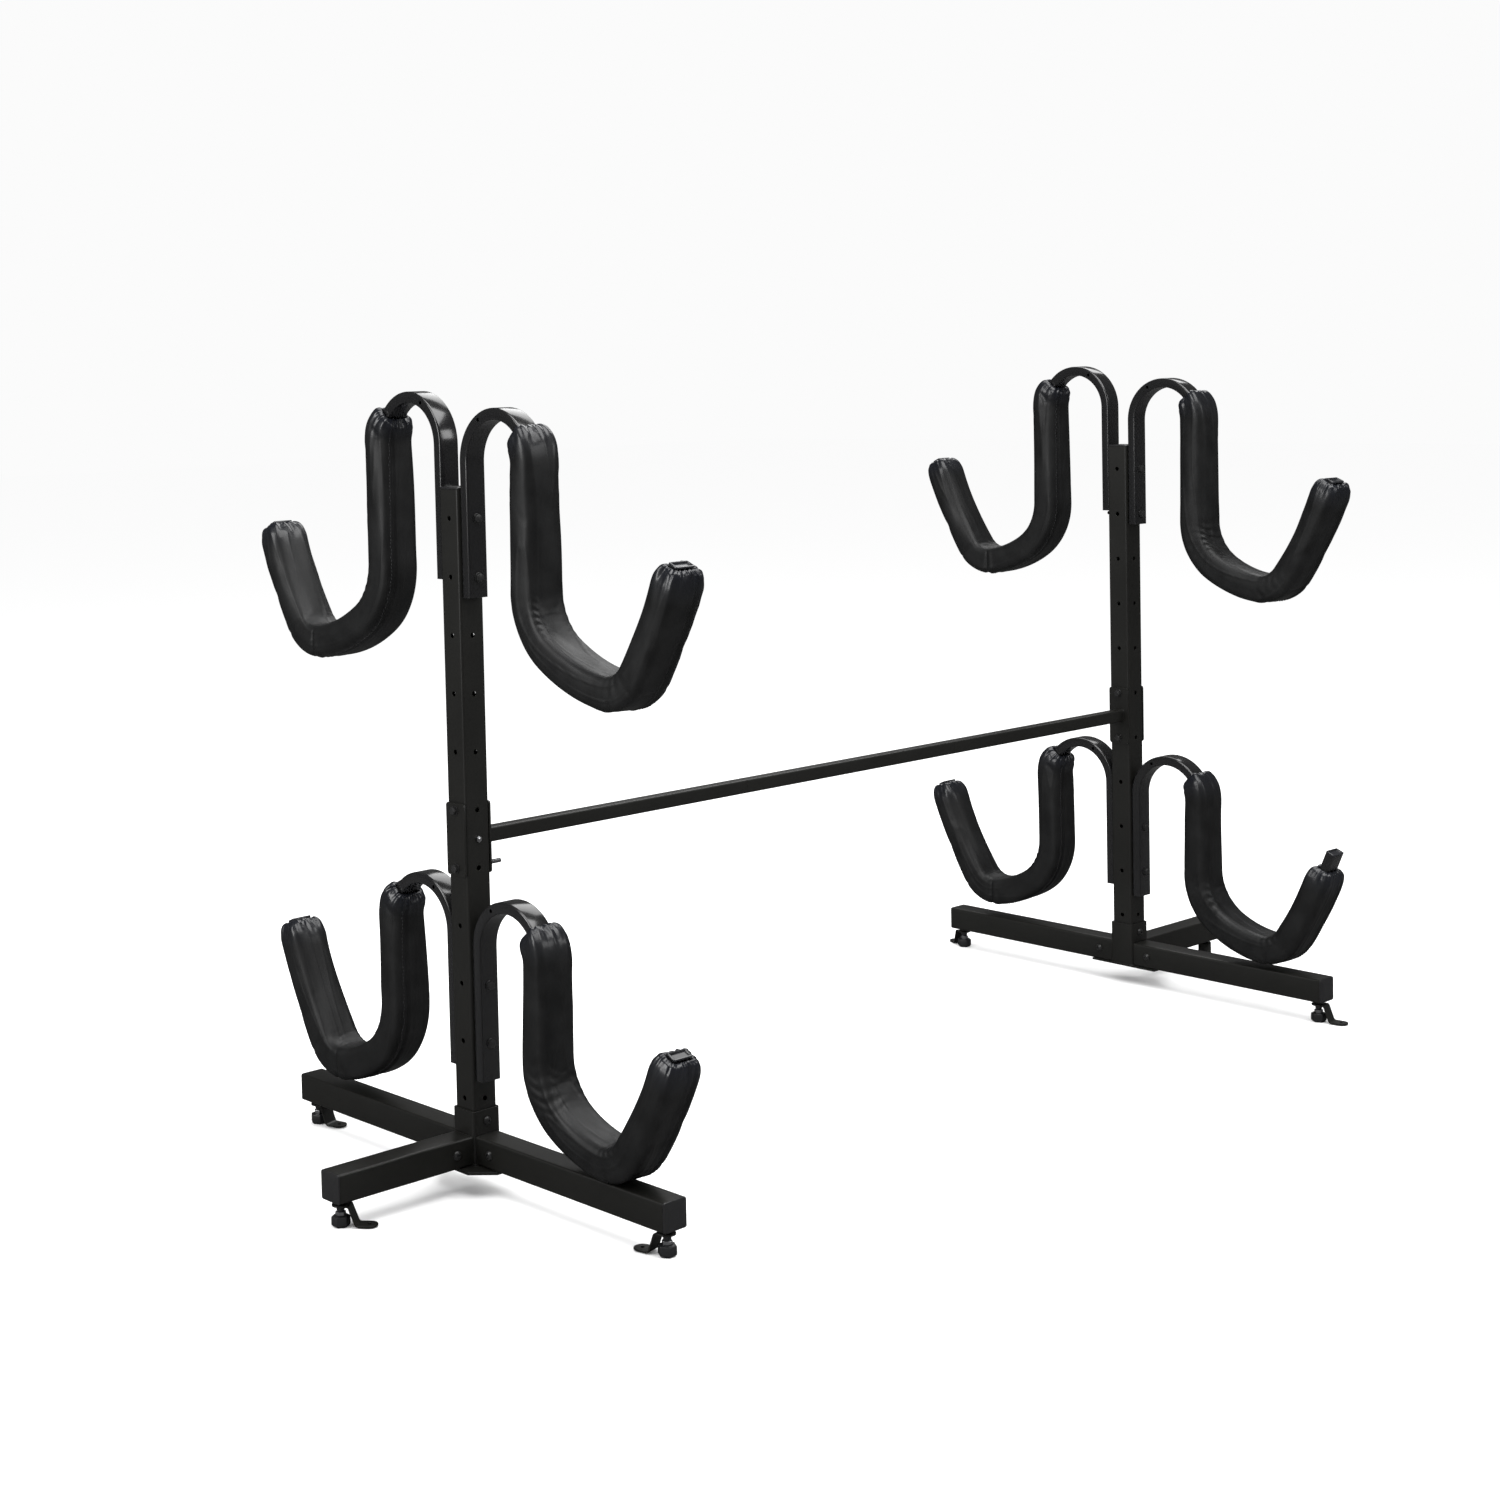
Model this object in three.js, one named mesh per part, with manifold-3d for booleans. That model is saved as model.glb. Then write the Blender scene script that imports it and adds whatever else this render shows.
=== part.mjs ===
// Kayak stand: two hole-punched posts on three-legged bases, joined by a crossbar, with eight
// padded J-shaped cradle arms. Millimetres. X runs along the crossbar, Y across the stand, Z up.
// The origin is on the floor, midway between the posts. Left is -X, front is -Y.

import * as THREE from "three";
import { mergeVertices } from "three/addons/utils/BufferGeometryUtils.js";
import Module from "manifold-3d";

const wasm = await Module();
wasm.setup();

// Clearances
const fit = 0.3; // gap between pieces that touch
const boltPlay = 0.5; // play of a bolt in its hole, all round
const overrun = 5; // how far a cutting tool runs past what it cuts
const weldOverlap = 0.5; // how far stacked shapes of one piece reach into each other

// Posts
const postSpacing = 1875; // centre to centre
const postWidth = 50;
const postWall = 2;
const postCorner = 4;
const postTop = 1205; // height of the tube's upper end
const holeDiameter = 9;
const holePitch = 100;
const lowestHole = 155.6; // height of the lowest hole
const holeCount = 11;
const capFlange = 4; // visible thickness of every push-in tube cap
const capSpigot = 9; // length of a cap inside its tube

// Base
const legWidth = 50;
const legWall = 2;
const legCorner = 4;
const rideHeight = 45; // underside of the legs
const sideLegReach = 500; // post centre to the end of a front or rear leg
const outerLegReach = 311; // post centre to the end of the outer leg
const gussetThickness = 4.5;
const gussetSideReach = 84; // post centre to the gusset's edge under the front and rear legs
const gussetOuterReach = 60; // post centre to its edge under the outer leg
const gussetCorner = 36; // length of its cut corners, along X and Y
const collarHeight = 92; // above the underside of the legs
const collarWall = 3.5;
const spigotLength = 70; // length of a hub's spigot inside its leg
const spigotWall = 3.5;

// Levelling feet and floor tabs
const footInset = 21; // stud centre to the end of the leg
const studDiameter = 10;
const studEngagement = 26; // how far the stud reaches up into the leg
const baseFlats = 28; // hexagonal plastic base, across flats
const baseHeight = 19;
const baseBevel = 4;
const jamNutFlats = 16;
const jamNutHeight = 7;
const spacerDiameter = 15;
const bossDiameter = 17;
const bossHeight = 6.7;
const tabThickness = 3;
const tabWidth = 29;
const tabHoleDistance = 48; // stud centre to the floor screw's hole
const tabHoleDiameter = 7;
const tabWebStart = 17; // stud centre to the upper bend
const tabWebRun = 12; // how far the web slants outward
const tabFloorGap = 2; // underside of the tab's lower plate above the floor

// Crossbar
const barWidth = 25.4;
const barWall = 1.5;
const barCorner = 2.5;
const barBolts = [4, 5]; // which post holes the crossbar's plates use, counted from the lowest
const leftJoint = -275; // place of the joint between the left and middle lengths
const rightJoint = 330; // place of the joint between the middle and right lengths
const jointSpigot = 70; // length of the middle bar's reduced end inside its neighbour
const jointStep = 3; // wall between the middle bar and its reduced end
const plateWidth = 50;
const plateThickness = 4;
const plateMargin = 12.5; // bolt centre to the end of a plate
const plateCorner = 5;
const boltDiameter = 8;
const boltFlats = 13;
const boltHeadHeight = 7;
const washerDiameter = 17;
const washerThickness = 2;

// Arms
const armWidth = 40; // along X
const armDepth = 20; // in the plane of the bends
const armWall = 1.5;
const plugCorner = 2;
const archRadius = 82; // centre line
const archDegrees = 180;
const tailLength = 230; // straight stretch bolted to the post
const upperArchTop = 1343; // highest point of a front upper arm
const lowerArchTop = 512; // highest point of a front lower arm
const upperRearLift = 29; // the rear upper arms sit this much higher
const lowerRearLift = 18; // the rear lower arms sit this much higher
const rightLift = 12; // the right post's arms sit this much higher
const innerBendRadius = 119;
const innerBendDegrees = 58;
const shelfDegrees = 24; // the stretch under the hull is a wide arc
const outerBendRadius = 70;
const lipRadius = 963; // the outer stretch is bent very slightly
const lipDegrees = 10;
// Per kind of arm: straight stretch beside the post, wide arc under the hull, bend of the outer
// stretch and its straight end. The arms differ a little from each other.
const upperArm = { drop: 208, shelfRadius: 340, outerBendDegrees: 65, tipLength: 26 };
const shortUpperArm = { drop: 214, shelfRadius: 255, outerBendDegrees: 64, tipLength: 52 };
const lowerArm = { drop: 153.5, shelfRadius: 254, outerBendDegrees: 63, tipLength: 26 };
const longLowerArm = { drop: 153.5, shelfRadius: 254, outerBendDegrees: 65, tipLength: 56 };
const bareLowerArm = { drop: 153.5, shelfRadius: 254, outerBendDegrees: 65, tipLength: 44 };
const plugRecess = 3; // depth of the hollow in the plug's outer face
const plugRim = 3;

// Pads
const padWidth = 77; // along X
const padDepth = 59; // in the plane of the bends
const padRoundness = 0.4; // power of the rounded section, 1 is an ellipse and 0 a box
const padSeamDepth = 2.5; // how far the lengthwise seam draws the cover in
const padStartDegrees = 48; // where the pad starts, past the top of the arch
const padGather = 30; // length over which each end is drawn in
const padGatherShares = [0.15, 0.5, 1]; // where the drawn-in stretch has its rings
const padGatherPower = 0.5; // 1 draws it in like a cone's foot, smaller more bluntly
const padRingGap = 3; // least distance between two rings
const padEndCover = 10; // thickness of foam and cover left at the drawn-in ends
const bareTip = 5; // bare tube beyond a pad
const bareTipLong = 34; // the same on the right front lower arm
const padCrown = 1.5; // how far the pad swells between its bends

// Roundness
const roundSides = 12;
const holeSides = 8;
const archSteps = 10;
const innerBendSteps = 4;
const shelfSteps = 3;
const outerBendSteps = 5;
const lipSteps = 2;
const cornerSteps = 2;
const padSides = 12;

// Directions of the floor tabs, in degrees from +X seen from above
const tabDirections = {
  left_front: 103,
  left_outer: -48,
  left_rear: -75,
  right_front: -80,
  right_outer: 215,
  right_rear: 65,
};

const radians = THREE.MathUtils.degToRad;
const post = postWidth / 2;
const hubTop = rideHeight - fit;
const gussetBottom = hubTop - gussetThickness;
const collarHalf = post + fit + collarWall;
const holeHeight = (index) => lowestHole + index * holePitch;
const barHeight = (holeHeight(barBolts[0]) + holeHeight(barBolts[1])) / 2;

const paint = {
  frame: { color: 0x17181a, roughness: 0.42, metalness: 0.55 },
  arm: { color: 0x111214, roughness: 0.24, metalness: 0.55 },
  pad: { color: 0x1b1c1f, roughness: 0.72, metalness: 0 },
  plastic: { color: 0x121314, roughness: 0.5, metalness: 0 },
};

const stand = new THREE.Group();

function place(parent, name, geometry, finish) {
  const mesh = new THREE.Mesh(geometry, new THREE.MeshStandardMaterial(paint[finish]));
  mesh.name = name;
  parent.add(mesh);
  return mesh;
}

// Solids that are cut and joined

function solid(geometry) {
  const bare = geometry.clone();
  bare.deleteAttribute("normal");
  bare.deleteAttribute("uv");
  const merged = mergeVertices(bare);
  return new wasm.Manifold(new wasm.Mesh({
    numProp: 3,
    vertProperties: merged.attributes.position.array,
    triVerts: new Uint32Array(merged.index.array),
  }));
}

function skin(body) {
  const mesh = body.getMesh();
  const geometry = new THREE.BufferGeometry();
  geometry.setAttribute("position", new THREE.BufferAttribute(mesh.vertProperties, 3));
  geometry.setIndex(new THREE.BufferAttribute(mesh.triVerts, 1));
  geometry.computeVertexNormals();
  return geometry;
}

function joined(geometries) {
  return geometries.map(solid).reduce((whole, next) => whole.add(next));
}

// Outlines and prisms

function trace(target, points) {
  points.forEach(([x, y], index) => (index ? target.lineTo(x, y) : target.moveTo(x, y)));
  target.closePath();
  return target;
}

function rectanglePoints(width, depth, corner, steps = cornerSteps) {
  const points = [];
  const centres = [[1, 1], [-1, 1], [-1, -1], [1, -1]];
  centres.forEach(([sx, sy], quarter) => {
    for (let step = 0; step <= steps; step += 1) {
      const angle = (quarter + step / steps) * Math.PI / 2;
      const x = sx * (width / 2 - corner) + corner * Math.cos(angle);
      const y = sy * (depth / 2 - corner) + corner * Math.sin(angle);
      points.push([x, y]);
    }
  });
  return points;
}

function squarePoints(width, depth = width) {
  const x = width / 2;
  const y = depth / 2;
  return [[x, y], [-x, y], [-x, -y], [x, -y]];
}

// A prism along Z between two heights, with a hollow where bore points are given
function prism(points, bottom, top, borePoints) {
  const shape = trace(new THREE.Shape(), points);
  if (borePoints) shape.holes.push(trace(new THREE.Path(), borePoints));
  const geometry = new THREE.ExtrudeGeometry(shape, { depth: top - bottom, bevelEnabled: false });
  return geometry.translate(0, 0, bottom);
}

// The same prism laid along +X
function prismAlongX(points, start, end, borePoints) {
  return prism(points, start, end, borePoints).rotateY(Math.PI / 2);
}

function disc(diameter, bottom, top, sides = roundSides) {
  const radius = diameter / 2;
  const points = [];
  for (let side = 0; side < sides; side += 1) {
    const angle = ((side + 0.5) / sides) * 2 * Math.PI;
    points.push([radius * Math.cos(angle), radius * Math.sin(angle)]);
  }
  return prism(points, bottom, top);
}

function hexagon(flats, bottom, top) {
  return disc(flats / Math.cos(Math.PI / 6), bottom, top, 6);
}

// Posts: square tubes with a row of holes through both pairs of walls

function makePost() {
  const outside = rectanglePoints(postWidth, postWidth, postCorner);
  let tube = solid(prism(outside, rideHeight, postTop, squarePoints(postWidth - 2 * postWall)));
  for (let index = 0; index < holeCount; index += 1) {
    const drill = disc(holeDiameter, -post - overrun, post + overrun, holeSides);
    const across = drill.clone().rotateY(Math.PI / 2).translate(0, 0, holeHeight(index));
    const through = drill.clone().rotateX(Math.PI / 2).translate(0, 0, holeHeight(index));
    tube = tube.subtract(solid(across)).subtract(solid(through));
  }
  return skin(tube);
}

// Push-in cap for a square tube whose end is at z = 0, pointing up
function makeTubeCap(width, wall, corner) {
  const inside = width - 2 * wall - 2 * fit;
  const flange = prism(rectanglePoints(width, width, corner), fit, fit + capFlange);
  const stem = prism(squarePoints(inside), -capSpigot, fit + capFlange / 2);
  return skin(joined([flange, stem]));
}

// Hub: gusset plate, collar round the post and three spigots, welded into one piece.
// It is drawn with the outer leg along +X.

function gussetOutline() {
  const outer = gussetOuterReach;
  const side = gussetSideReach;
  const cut = gussetCorner;
  const inner = -legWidth / 2;
  return [[outer, side - cut], [outer - cut, side], [inner, side], [inner, -side],
    [outer - cut, -side], [outer, cut - side]];
}

function makeHub() {
  const bore = squarePoints(postWidth + 2 * fit);
  const collarWidth = 2 * collarHalf;
  const collarTop = rideHeight + collarHeight;
  const middle = rideHeight + legWidth / 2;
  const spigotWidth = legWidth - 2 * legWall - 2 * fit;
  const plate = prism(gussetOutline(), gussetBottom, hubTop);
  const collarOutside = rectanglePoints(collarWidth, collarWidth, postCorner);
  const collar = prism(collarOutside, gussetBottom + gussetThickness / 2, collarTop, bore);
  const pieces = [plate, collar];
  for (const direction of [-1, 0, 1]) {
    const start = collarHalf - collarWall / 2;
    const end = collarHalf + fit + spigotLength;
    const hollow = squarePoints(spigotWidth - 2 * spigotWall);
    const spigot = prismAlongX(squarePoints(spigotWidth), start, end, hollow);
    pieces.push(spigot.translate(0, 0, middle).rotateZ(direction * Math.PI / 2));
  }
  return skin(joined(pieces));
}

// Leg: square tube along +X with a threaded boss under its outer end
function makeLeg(reach) {
  const middle = rideHeight + legWidth / 2;
  const outside = rectanglePoints(legWidth, legWidth, legCorner);
  const bore = squarePoints(legWidth - 2 * legWall);
  const start = collarHalf + fit;
  const end = reach - capFlange - fit;
  const tube = prismAlongX(outside, start, end, bore).translate(0, 0, middle);
  const studAt = reach - footInset;
  const boss = disc(bossDiameter, rideHeight - bossHeight, rideHeight + legWall / 2);
  const drill = disc(studDiameter + 2 * fit, 0, rideHeight + legWall + overrun);
  const body = joined([tube, boss.translate(studAt, 0, 0)]);
  return skin(body.subtract(solid(drill.translate(studAt, 0, 0))));
}

// Levelling foot: hexagonal plastic foot, jam nut, spacer and stud, turning as one piece
function makeFoot() {
  const corner = baseFlats / 2 / Math.cos(Math.PI / 6);
  const bevelled = new THREE.CylinderGeometry(corner, corner - baseBevel, baseBevel, 6);
  bevelled.rotateX(Math.PI / 2).rotateZ(Math.PI / 6).translate(0, 0, baseBevel / 2);
  const jamTop = baseHeight + jamNutHeight;
  const spacerTop = rideHeight - bossHeight - tabThickness - 2 * fit;
  return skin(joined([
    bevelled,
    hexagon(baseFlats, baseBevel, baseHeight),
    hexagon(jamNutFlats, baseHeight - weldOverlap, jamTop),
    disc(spacerDiameter, jamTop - weldOverlap, spacerTop),
    disc(studDiameter, jamTop, rideHeight + studEngagement, holeSides),
  ]));
}

// Floor tab: a strip bent like a Z, round at both ends, from the stud along +X
function makeTab() {
  const top = rideHeight - bossHeight - fit;
  const underTop = top - tabThickness;
  const low = tabFloorGap + tabThickness;
  const bend = tabWebStart;
  const foot = tabWebStart + tabWebRun;
  const radius = tabWidth / 2;
  const end = tabHoleDistance + radius;
  const side = [
    [-radius, underTop], [bend - tabThickness, underTop], [foot - tabThickness, tabFloorGap],
    [end, tabFloorGap], [end, low], [foot, low], [bend, top], [-radius, top],
  ];
  const strip = prism(side, -radius, radius).rotateX(Math.PI / 2);
  const plan = new THREE.Shape();
  plan.absarc(tabHoleDistance, 0, radius, -Math.PI / 2, Math.PI / 2, false);
  plan.absarc(0, 0, radius, Math.PI / 2, 3 * Math.PI / 2, false);
  const options = { depth: rideHeight, bevelEnabled: false, curveSegments: roundSides / 2 };
  const stadium = new THREE.ExtrudeGeometry(plan, options);
  const studHole = disc(studDiameter + 2 * fit, 0, rideHeight);
  const screwHole = disc(tabHoleDiameter, 0, rideHeight).translate(tabHoleDistance, 0, 0);
  const body = solid(strip).intersect(solid(stadium));
  return skin(body.subtract(solid(studHole)).subtract(solid(screwHole)));
}

// Crossbar: three lengths of square tube. The outer two end in a welded plate, and the middle
// one's reduced ends slide into them.

function barTube(start, end) {
  const outside = rectanglePoints(barWidth, barWidth, barCorner);
  return prismAlongX(outside, start, end, squarePoints(barWidth - 2 * barWall));
}

function makePlate() {
  const half = plateThickness / 2;
  const tall = holePitch + 2 * plateMargin;
  return prismAlongX(rectanglePoints(tall, plateWidth, plateCorner, 1), -half, half);
}

function boltHoles() {
  const length = plateThickness / 2 + overrun;
  const drill = disc(boltDiameter + 2 * boltPlay, -length, length);
  drill.rotateY(Math.PI / 2);
  return [-1, 1].map((side) => solid(drill.clone().translate(0, 0, side * holePitch / 2)));
}

// An end length, from its plate at the origin towards the middle of the stand
function makeEndBar(length, direction) {
  const weld = plateThickness / 2;
  const tube = direction > 0 ? barTube(0, length - weld) : barTube(weld - length, 0);
  let body = solid(makePlate()).add(solid(tube));
  for (const hole of boltHoles()) body = body.subtract(hole);
  return skin(body);
}

function makeMiddleBar() {
  const start = leftJoint + fit / 2;
  const end = rightJoint - fit / 2;
  const outside = barWidth - 2 * barWall - 2 * fit;
  const inside = outside - 2 * barWall;
  const pieces = [barTube(start, end)];
  for (const [face, inward] of [[start, 1], [end, -1]]) {
    const back = face + inward * jointStep;
    const tip = face - inward * jointSpigot;
    const step = rectanglePoints(barWidth, barWidth, barCorner);
    const low = Math.min(back, face);
    pieces.push(prismAlongX(step, low, low + jointStep, squarePoints(inside)));
    const lowTip = Math.min(tip, back);
    const length = Math.abs(tip - back);
    pieces.push(prismAlongX(squarePoints(outside), lowTip, lowTip + length, squarePoints(inside)));
  }
  return skin(joined(pieces));
}

// Clamp: the plate on a post's outer face with its two bolts, whose heads all point to -X.
// side says on which side of the post the plate lies.
function makeClamp(side) {
  const plateCentre = post + fit + plateThickness / 2;
  const farFace = post + plateThickness + 2 * fit;
  const pieces = [makePlate().translate(side * plateCentre, 0, 0)];
  const grip = side < 0 ? fit : 0;
  const headFace = -farFace + grip;
  const nutFace = farFace - (side > 0 ? fit : 0);
  for (const level of [-1, 1]) {
    const parts = [
      disc(boltDiameter, headFace - boltHeadHeight, nutFace + boltHeadHeight, holeSides),
      disc(washerDiameter, headFace - washerThickness, headFace),
      disc(washerDiameter, nutFace, nutFace + washerThickness),
      hexagon(boltFlats, headFace - boltHeadHeight - washerThickness, headFace - washerThickness / 2),
      hexagon(boltFlats, nutFace + washerThickness / 2, nutFace + boltHeadHeight),
    ];
    for (const part of parts) {
      pieces.push(part.rotateY(Math.PI / 2).translate(0, 0, level * holePitch / 2));
    }
  }
  return skin(joined(pieces));
}

// Arms and pads: sections carried along a path of straight stretches and bends.
// A station is a place on the path: distance out from the post, height, heading and run so far.

function armPath(archTop, { drop, shelfRadius, outerBendDegrees, tipLength }) {
  const stations = [];
  let out = post + fit + armDepth / 2;
  let height = archTop - armDepth / 2 - archRadius - tailLength;
  let heading = Math.PI / 2;
  let run = 0;
  const mark = () => stations.push({ out, height, heading, run });
  const straight = (length) => {
    out += length * Math.cos(heading);
    height += length * Math.sin(heading);
    run += length;
    mark();
  };
  const bend = (radius, degrees, steps) => {
    const turn = radians(degrees) / steps;
    const chord = 2 * radius * Math.sin(Math.abs(turn) / 2);
    for (let step = 0; step < steps; step += 1) {
      out += chord * Math.cos(heading + turn / 2);
      height += chord * Math.sin(heading + turn / 2);
      heading += turn;
      run += radius * Math.abs(turn);
      mark();
    }
  };
  mark();
  straight(tailLength);
  bend(archRadius, -archDegrees, archSteps);
  straight(drop);
  bend(innerBendRadius, innerBendDegrees, innerBendSteps);
  bend(shelfRadius, shelfDegrees, shelfSteps);
  bend(outerBendRadius, outerBendDegrees, outerBendSteps);
  bend(lipRadius, lipDegrees, lipSteps);
  straight(tipLength);
  return stations;
}

// A section's points in space at a station. side is -1 for a front arm and 1 for a rear one.
function ringAt(station, points, side) {
  const along = new THREE.Vector3(0, side * Math.cos(station.heading), Math.sin(station.heading));
  const across = new THREE.Vector3(side, 0, 0);
  const up = along.clone().cross(across);
  const centre = new THREE.Vector3(0, side * station.out, station.height);
  return points.map(([x, y]) => (
    centre.clone().addScaledVector(across, x).addScaledVector(up, y)
  ));
}

// A closed skin over outer and bore rings, with flat ends
function loft(outer, bore) {
  const sides = outer[0].length;
  const boreSides = bore[0].length;
  const last = outer.length - 1;
  const positions = [];
  const index = [];
  for (const ring of [...outer, ...bore]) ring.forEach((point) => positions.push(...point));
  const outerAt = (ring, side) => ring * sides + (side % sides);
  const boreAt = (ring, side) => outer.length * sides + ring * boreSides + (side % boreSides);
  for (let ring = 0; ring < last; ring += 1) {
    for (let side = 0; side < sides; side += 1) {
      const near = [outerAt(ring, side), outerAt(ring, side + 1)];
      const far = [outerAt(ring + 1, side), outerAt(ring + 1, side + 1)];
      index.push(near[0], near[1], far[1], near[0], far[1], far[0]);
    }
    for (let side = 0; side < boreSides; side += 1) {
      const near = [boreAt(ring, side), boreAt(ring, side + 1)];
      const far = [boreAt(ring + 1, side), boreAt(ring + 1, side + 1)];
      index.push(near[0], far[1], near[1], near[0], far[0], far[1]);
    }
  }
  for (const ring of [0, last]) {
    for (const corners of endFaces(outer[ring], bore[ring])) {
      const [a, b, c] = corners.map((corner) => (
        corner < sides ? outerAt(ring, corner) : boreAt(ring, corner - sides)
      ));
      index.push(...(ring ? [a, b, c] : [a, c, b]));
    }
  }
  const geometry = new THREE.BufferGeometry();
  geometry.setAttribute("position", new THREE.Float32BufferAttribute(positions, 3));
  geometry.setIndex(index);
  geometry.computeVertexNormals();
  return geometry;
}

// Triangles of a ring-shaped end face, turned the way the outer ring turns
function endFaces(outer, bore) {
  const origin = outer[0];
  const across = new THREE.Vector3(1, 0, 0);
  const normal = new THREE.Vector3();
  const centre = new THREE.Vector3();
  outer.forEach((point) => centre.addScaledVector(point, 1 / outer.length));
  normal.crossVectors(outer[0].clone().sub(centre), outer[1].clone().sub(centre)).normalize();
  const up = new THREE.Vector3().crossVectors(normal, across);
  const flat = (point) => {
    const offset = point.clone().sub(origin);
    return new THREE.Vector2(offset.dot(across), offset.dot(up));
  };
  const contour = outer.map(flat);
  const hole = bore.map(flat);
  const all = [...contour, ...hole];
  return THREE.ShapeUtils.triangulateShape(contour, [hole]).map(([a, b, c]) => {
    const turn = all[b].clone().sub(all[a]).cross(all[c].clone().sub(all[a]));
    return turn > 0 ? [a, b, c] : [a, c, b];
  });
}

function makeArm(path, side) {
  const outside = squarePoints(armWidth, armDepth);
  const inside = squarePoints(armWidth - 2 * armWall, armDepth - 2 * armWall);
  return loft(
    path.map((station) => ringAt(station, outside, side)),
    path.map((station) => ringAt(station, inside, side)),
  );
}

// Pad section: a rounded box with a seam drawn in along the face that looks away from the hull.
// fullness runs from 0 at a drawn-in end to 1 where the pad is full.
function padPoints(fullness) {
  const width = armWidth + 2 * padEndCover;
  const depth = armDepth + 2 * padEndCover;
  const halfWidth = (width + (padWidth - width) * fullness) / 2;
  const halfDepth = (depth + (padDepth - depth) * fullness) / 2;
  const points = [];
  for (let step = 0; step < padSides; step += 1) {
    const angle = (step / padSides) * 2 * Math.PI;
    const cosine = Math.cos(angle);
    const sine = Math.sin(angle);
    const x = Math.sign(cosine) * Math.abs(cosine) ** padRoundness * halfWidth;
    const y = Math.sign(sine) * Math.abs(sine) ** padRoundness * halfDepth;
    const seam = step === padSides / 4 ? padSeamDepth * fullness : 0;
    points.push([x, y - seam]);
  }
  return points;
}

// Distances along the arm at which a pad has a ring: every bend of the arm, and its drawn-in ends
function padRuns(path, start, end) {
  const runs = [start, end];
  const bends = path.map((station) => station.run);
  runs.push(...bends.filter((run) => run > start + fit && run < end - fit));
  for (const share of padGatherShares) {
    for (const run of [start + share * padGather, end - share * padGather]) {
      if (runs.every((other) => Math.abs(other - run) > padRingGap)) runs.push(run);
    }
  }
  return runs.sort((a, b) => a - b);
}

function stretchAt(path, run) {
  const next = Math.max(1, path.findIndex((station) => station.run >= run));
  const [before, after] = [path[next - 1], path[next]];
  return { before, after, share: (run - before.run) / (after.run - before.run) };
}

function blendedRing(path, run, points, side) {
  const { before, after, share } = stretchAt(path, run);
  const start = ringAt(before, points, side);
  const end = ringAt(after, points, side);
  return start.map((point, index) => point.lerp(end[index], share));
}

function makePad(path, side, bare) {
  const archEnd = tailLength + archRadius * Math.PI;
  const start = archEnd - archRadius * radians(archDegrees / 2 - padStartDegrees);
  const end = path.at(-1).run - bare;
  const gap = 2 * fit;
  const bore = squarePoints(armWidth + gap, armDepth + gap);
  const runs = padRuns(path, start, end);
  const crown = padCrown / (padDepth - armDepth);
  return loft(
    runs.map((run) => {
      const toEnd = Math.min(run - start, end - run);
      const gathered = Math.sin(Math.min(1, toEnd / padGather) * Math.PI / 2) ** padGatherPower;
      const swell = crown * Math.sin(Math.PI * (run - start) / (end - start));
      return blendedRing(path, run, padPoints(gathered + swell), side);
    }),
    runs.map((run) => blendedRing(path, run, bore, side)),
  );
}

// Push-in plug for an arm's tip, drawn pointing up at z = 0
function makeTipPlug() {
  const inside = squarePoints(armWidth - 2 * armWall - 2 * fit, armDepth - 2 * armWall - 2 * fit);
  const flange = prism(rectanglePoints(armWidth, armDepth, plugCorner, 1), fit, fit + capFlange);
  const stem = prism(inside, -capSpigot, fit + capFlange / 2);
  const hollow = squarePoints(armWidth - 2 * plugRim, armDepth - 2 * plugRim);
  const recess = prism(hollow, fit + capFlange - plugRecess, fit + capFlange + overrun);
  return skin(joined([flange, stem]).subtract(solid(recess)));
}

// Assembly

function addLeg(parent, name, reach, direction) {
  const leg = new THREE.Group();
  leg.rotation.z = radians(direction);
  parent.add(leg);
  place(leg, `${name}_leg`, makeLeg(reach), "frame");
  const cap = place(leg, `${name}_leg_cap`, makeTubeCap(legWidth, legWall, legCorner), "plastic");
  cap.position.set(reach - capFlange - fit, 0, rideHeight + legWidth / 2);
  cap.rotation.y = Math.PI / 2;
  const foot = place(leg, `${name}_foot`, makeFoot(), "plastic");
  foot.position.x = reach - footInset;
  const tab = place(leg, `${name}_floor_tab`, makeTab(), "frame");
  tab.position.x = reach - footInset;
  tab.rotation.z = radians(tabDirections[name] - direction);
}

function addArm(parent, name, archTop, stretches, side, bare) {
  const path = armPath(archTop, stretches);
  place(parent, `${name}_arm`, makeArm(path, side), "arm");
  place(parent, `${name}_pad`, makePad(path, side, bare), "pad");
  const plug = place(parent, `${name}_plug`, makeTipPlug(), "plastic");
  const tip = path.at(-1);
  plug.position.set(0, side * tip.out, tip.height);
  plug.rotation.x = side * (tip.heading - Math.PI / 2);
}

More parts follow.
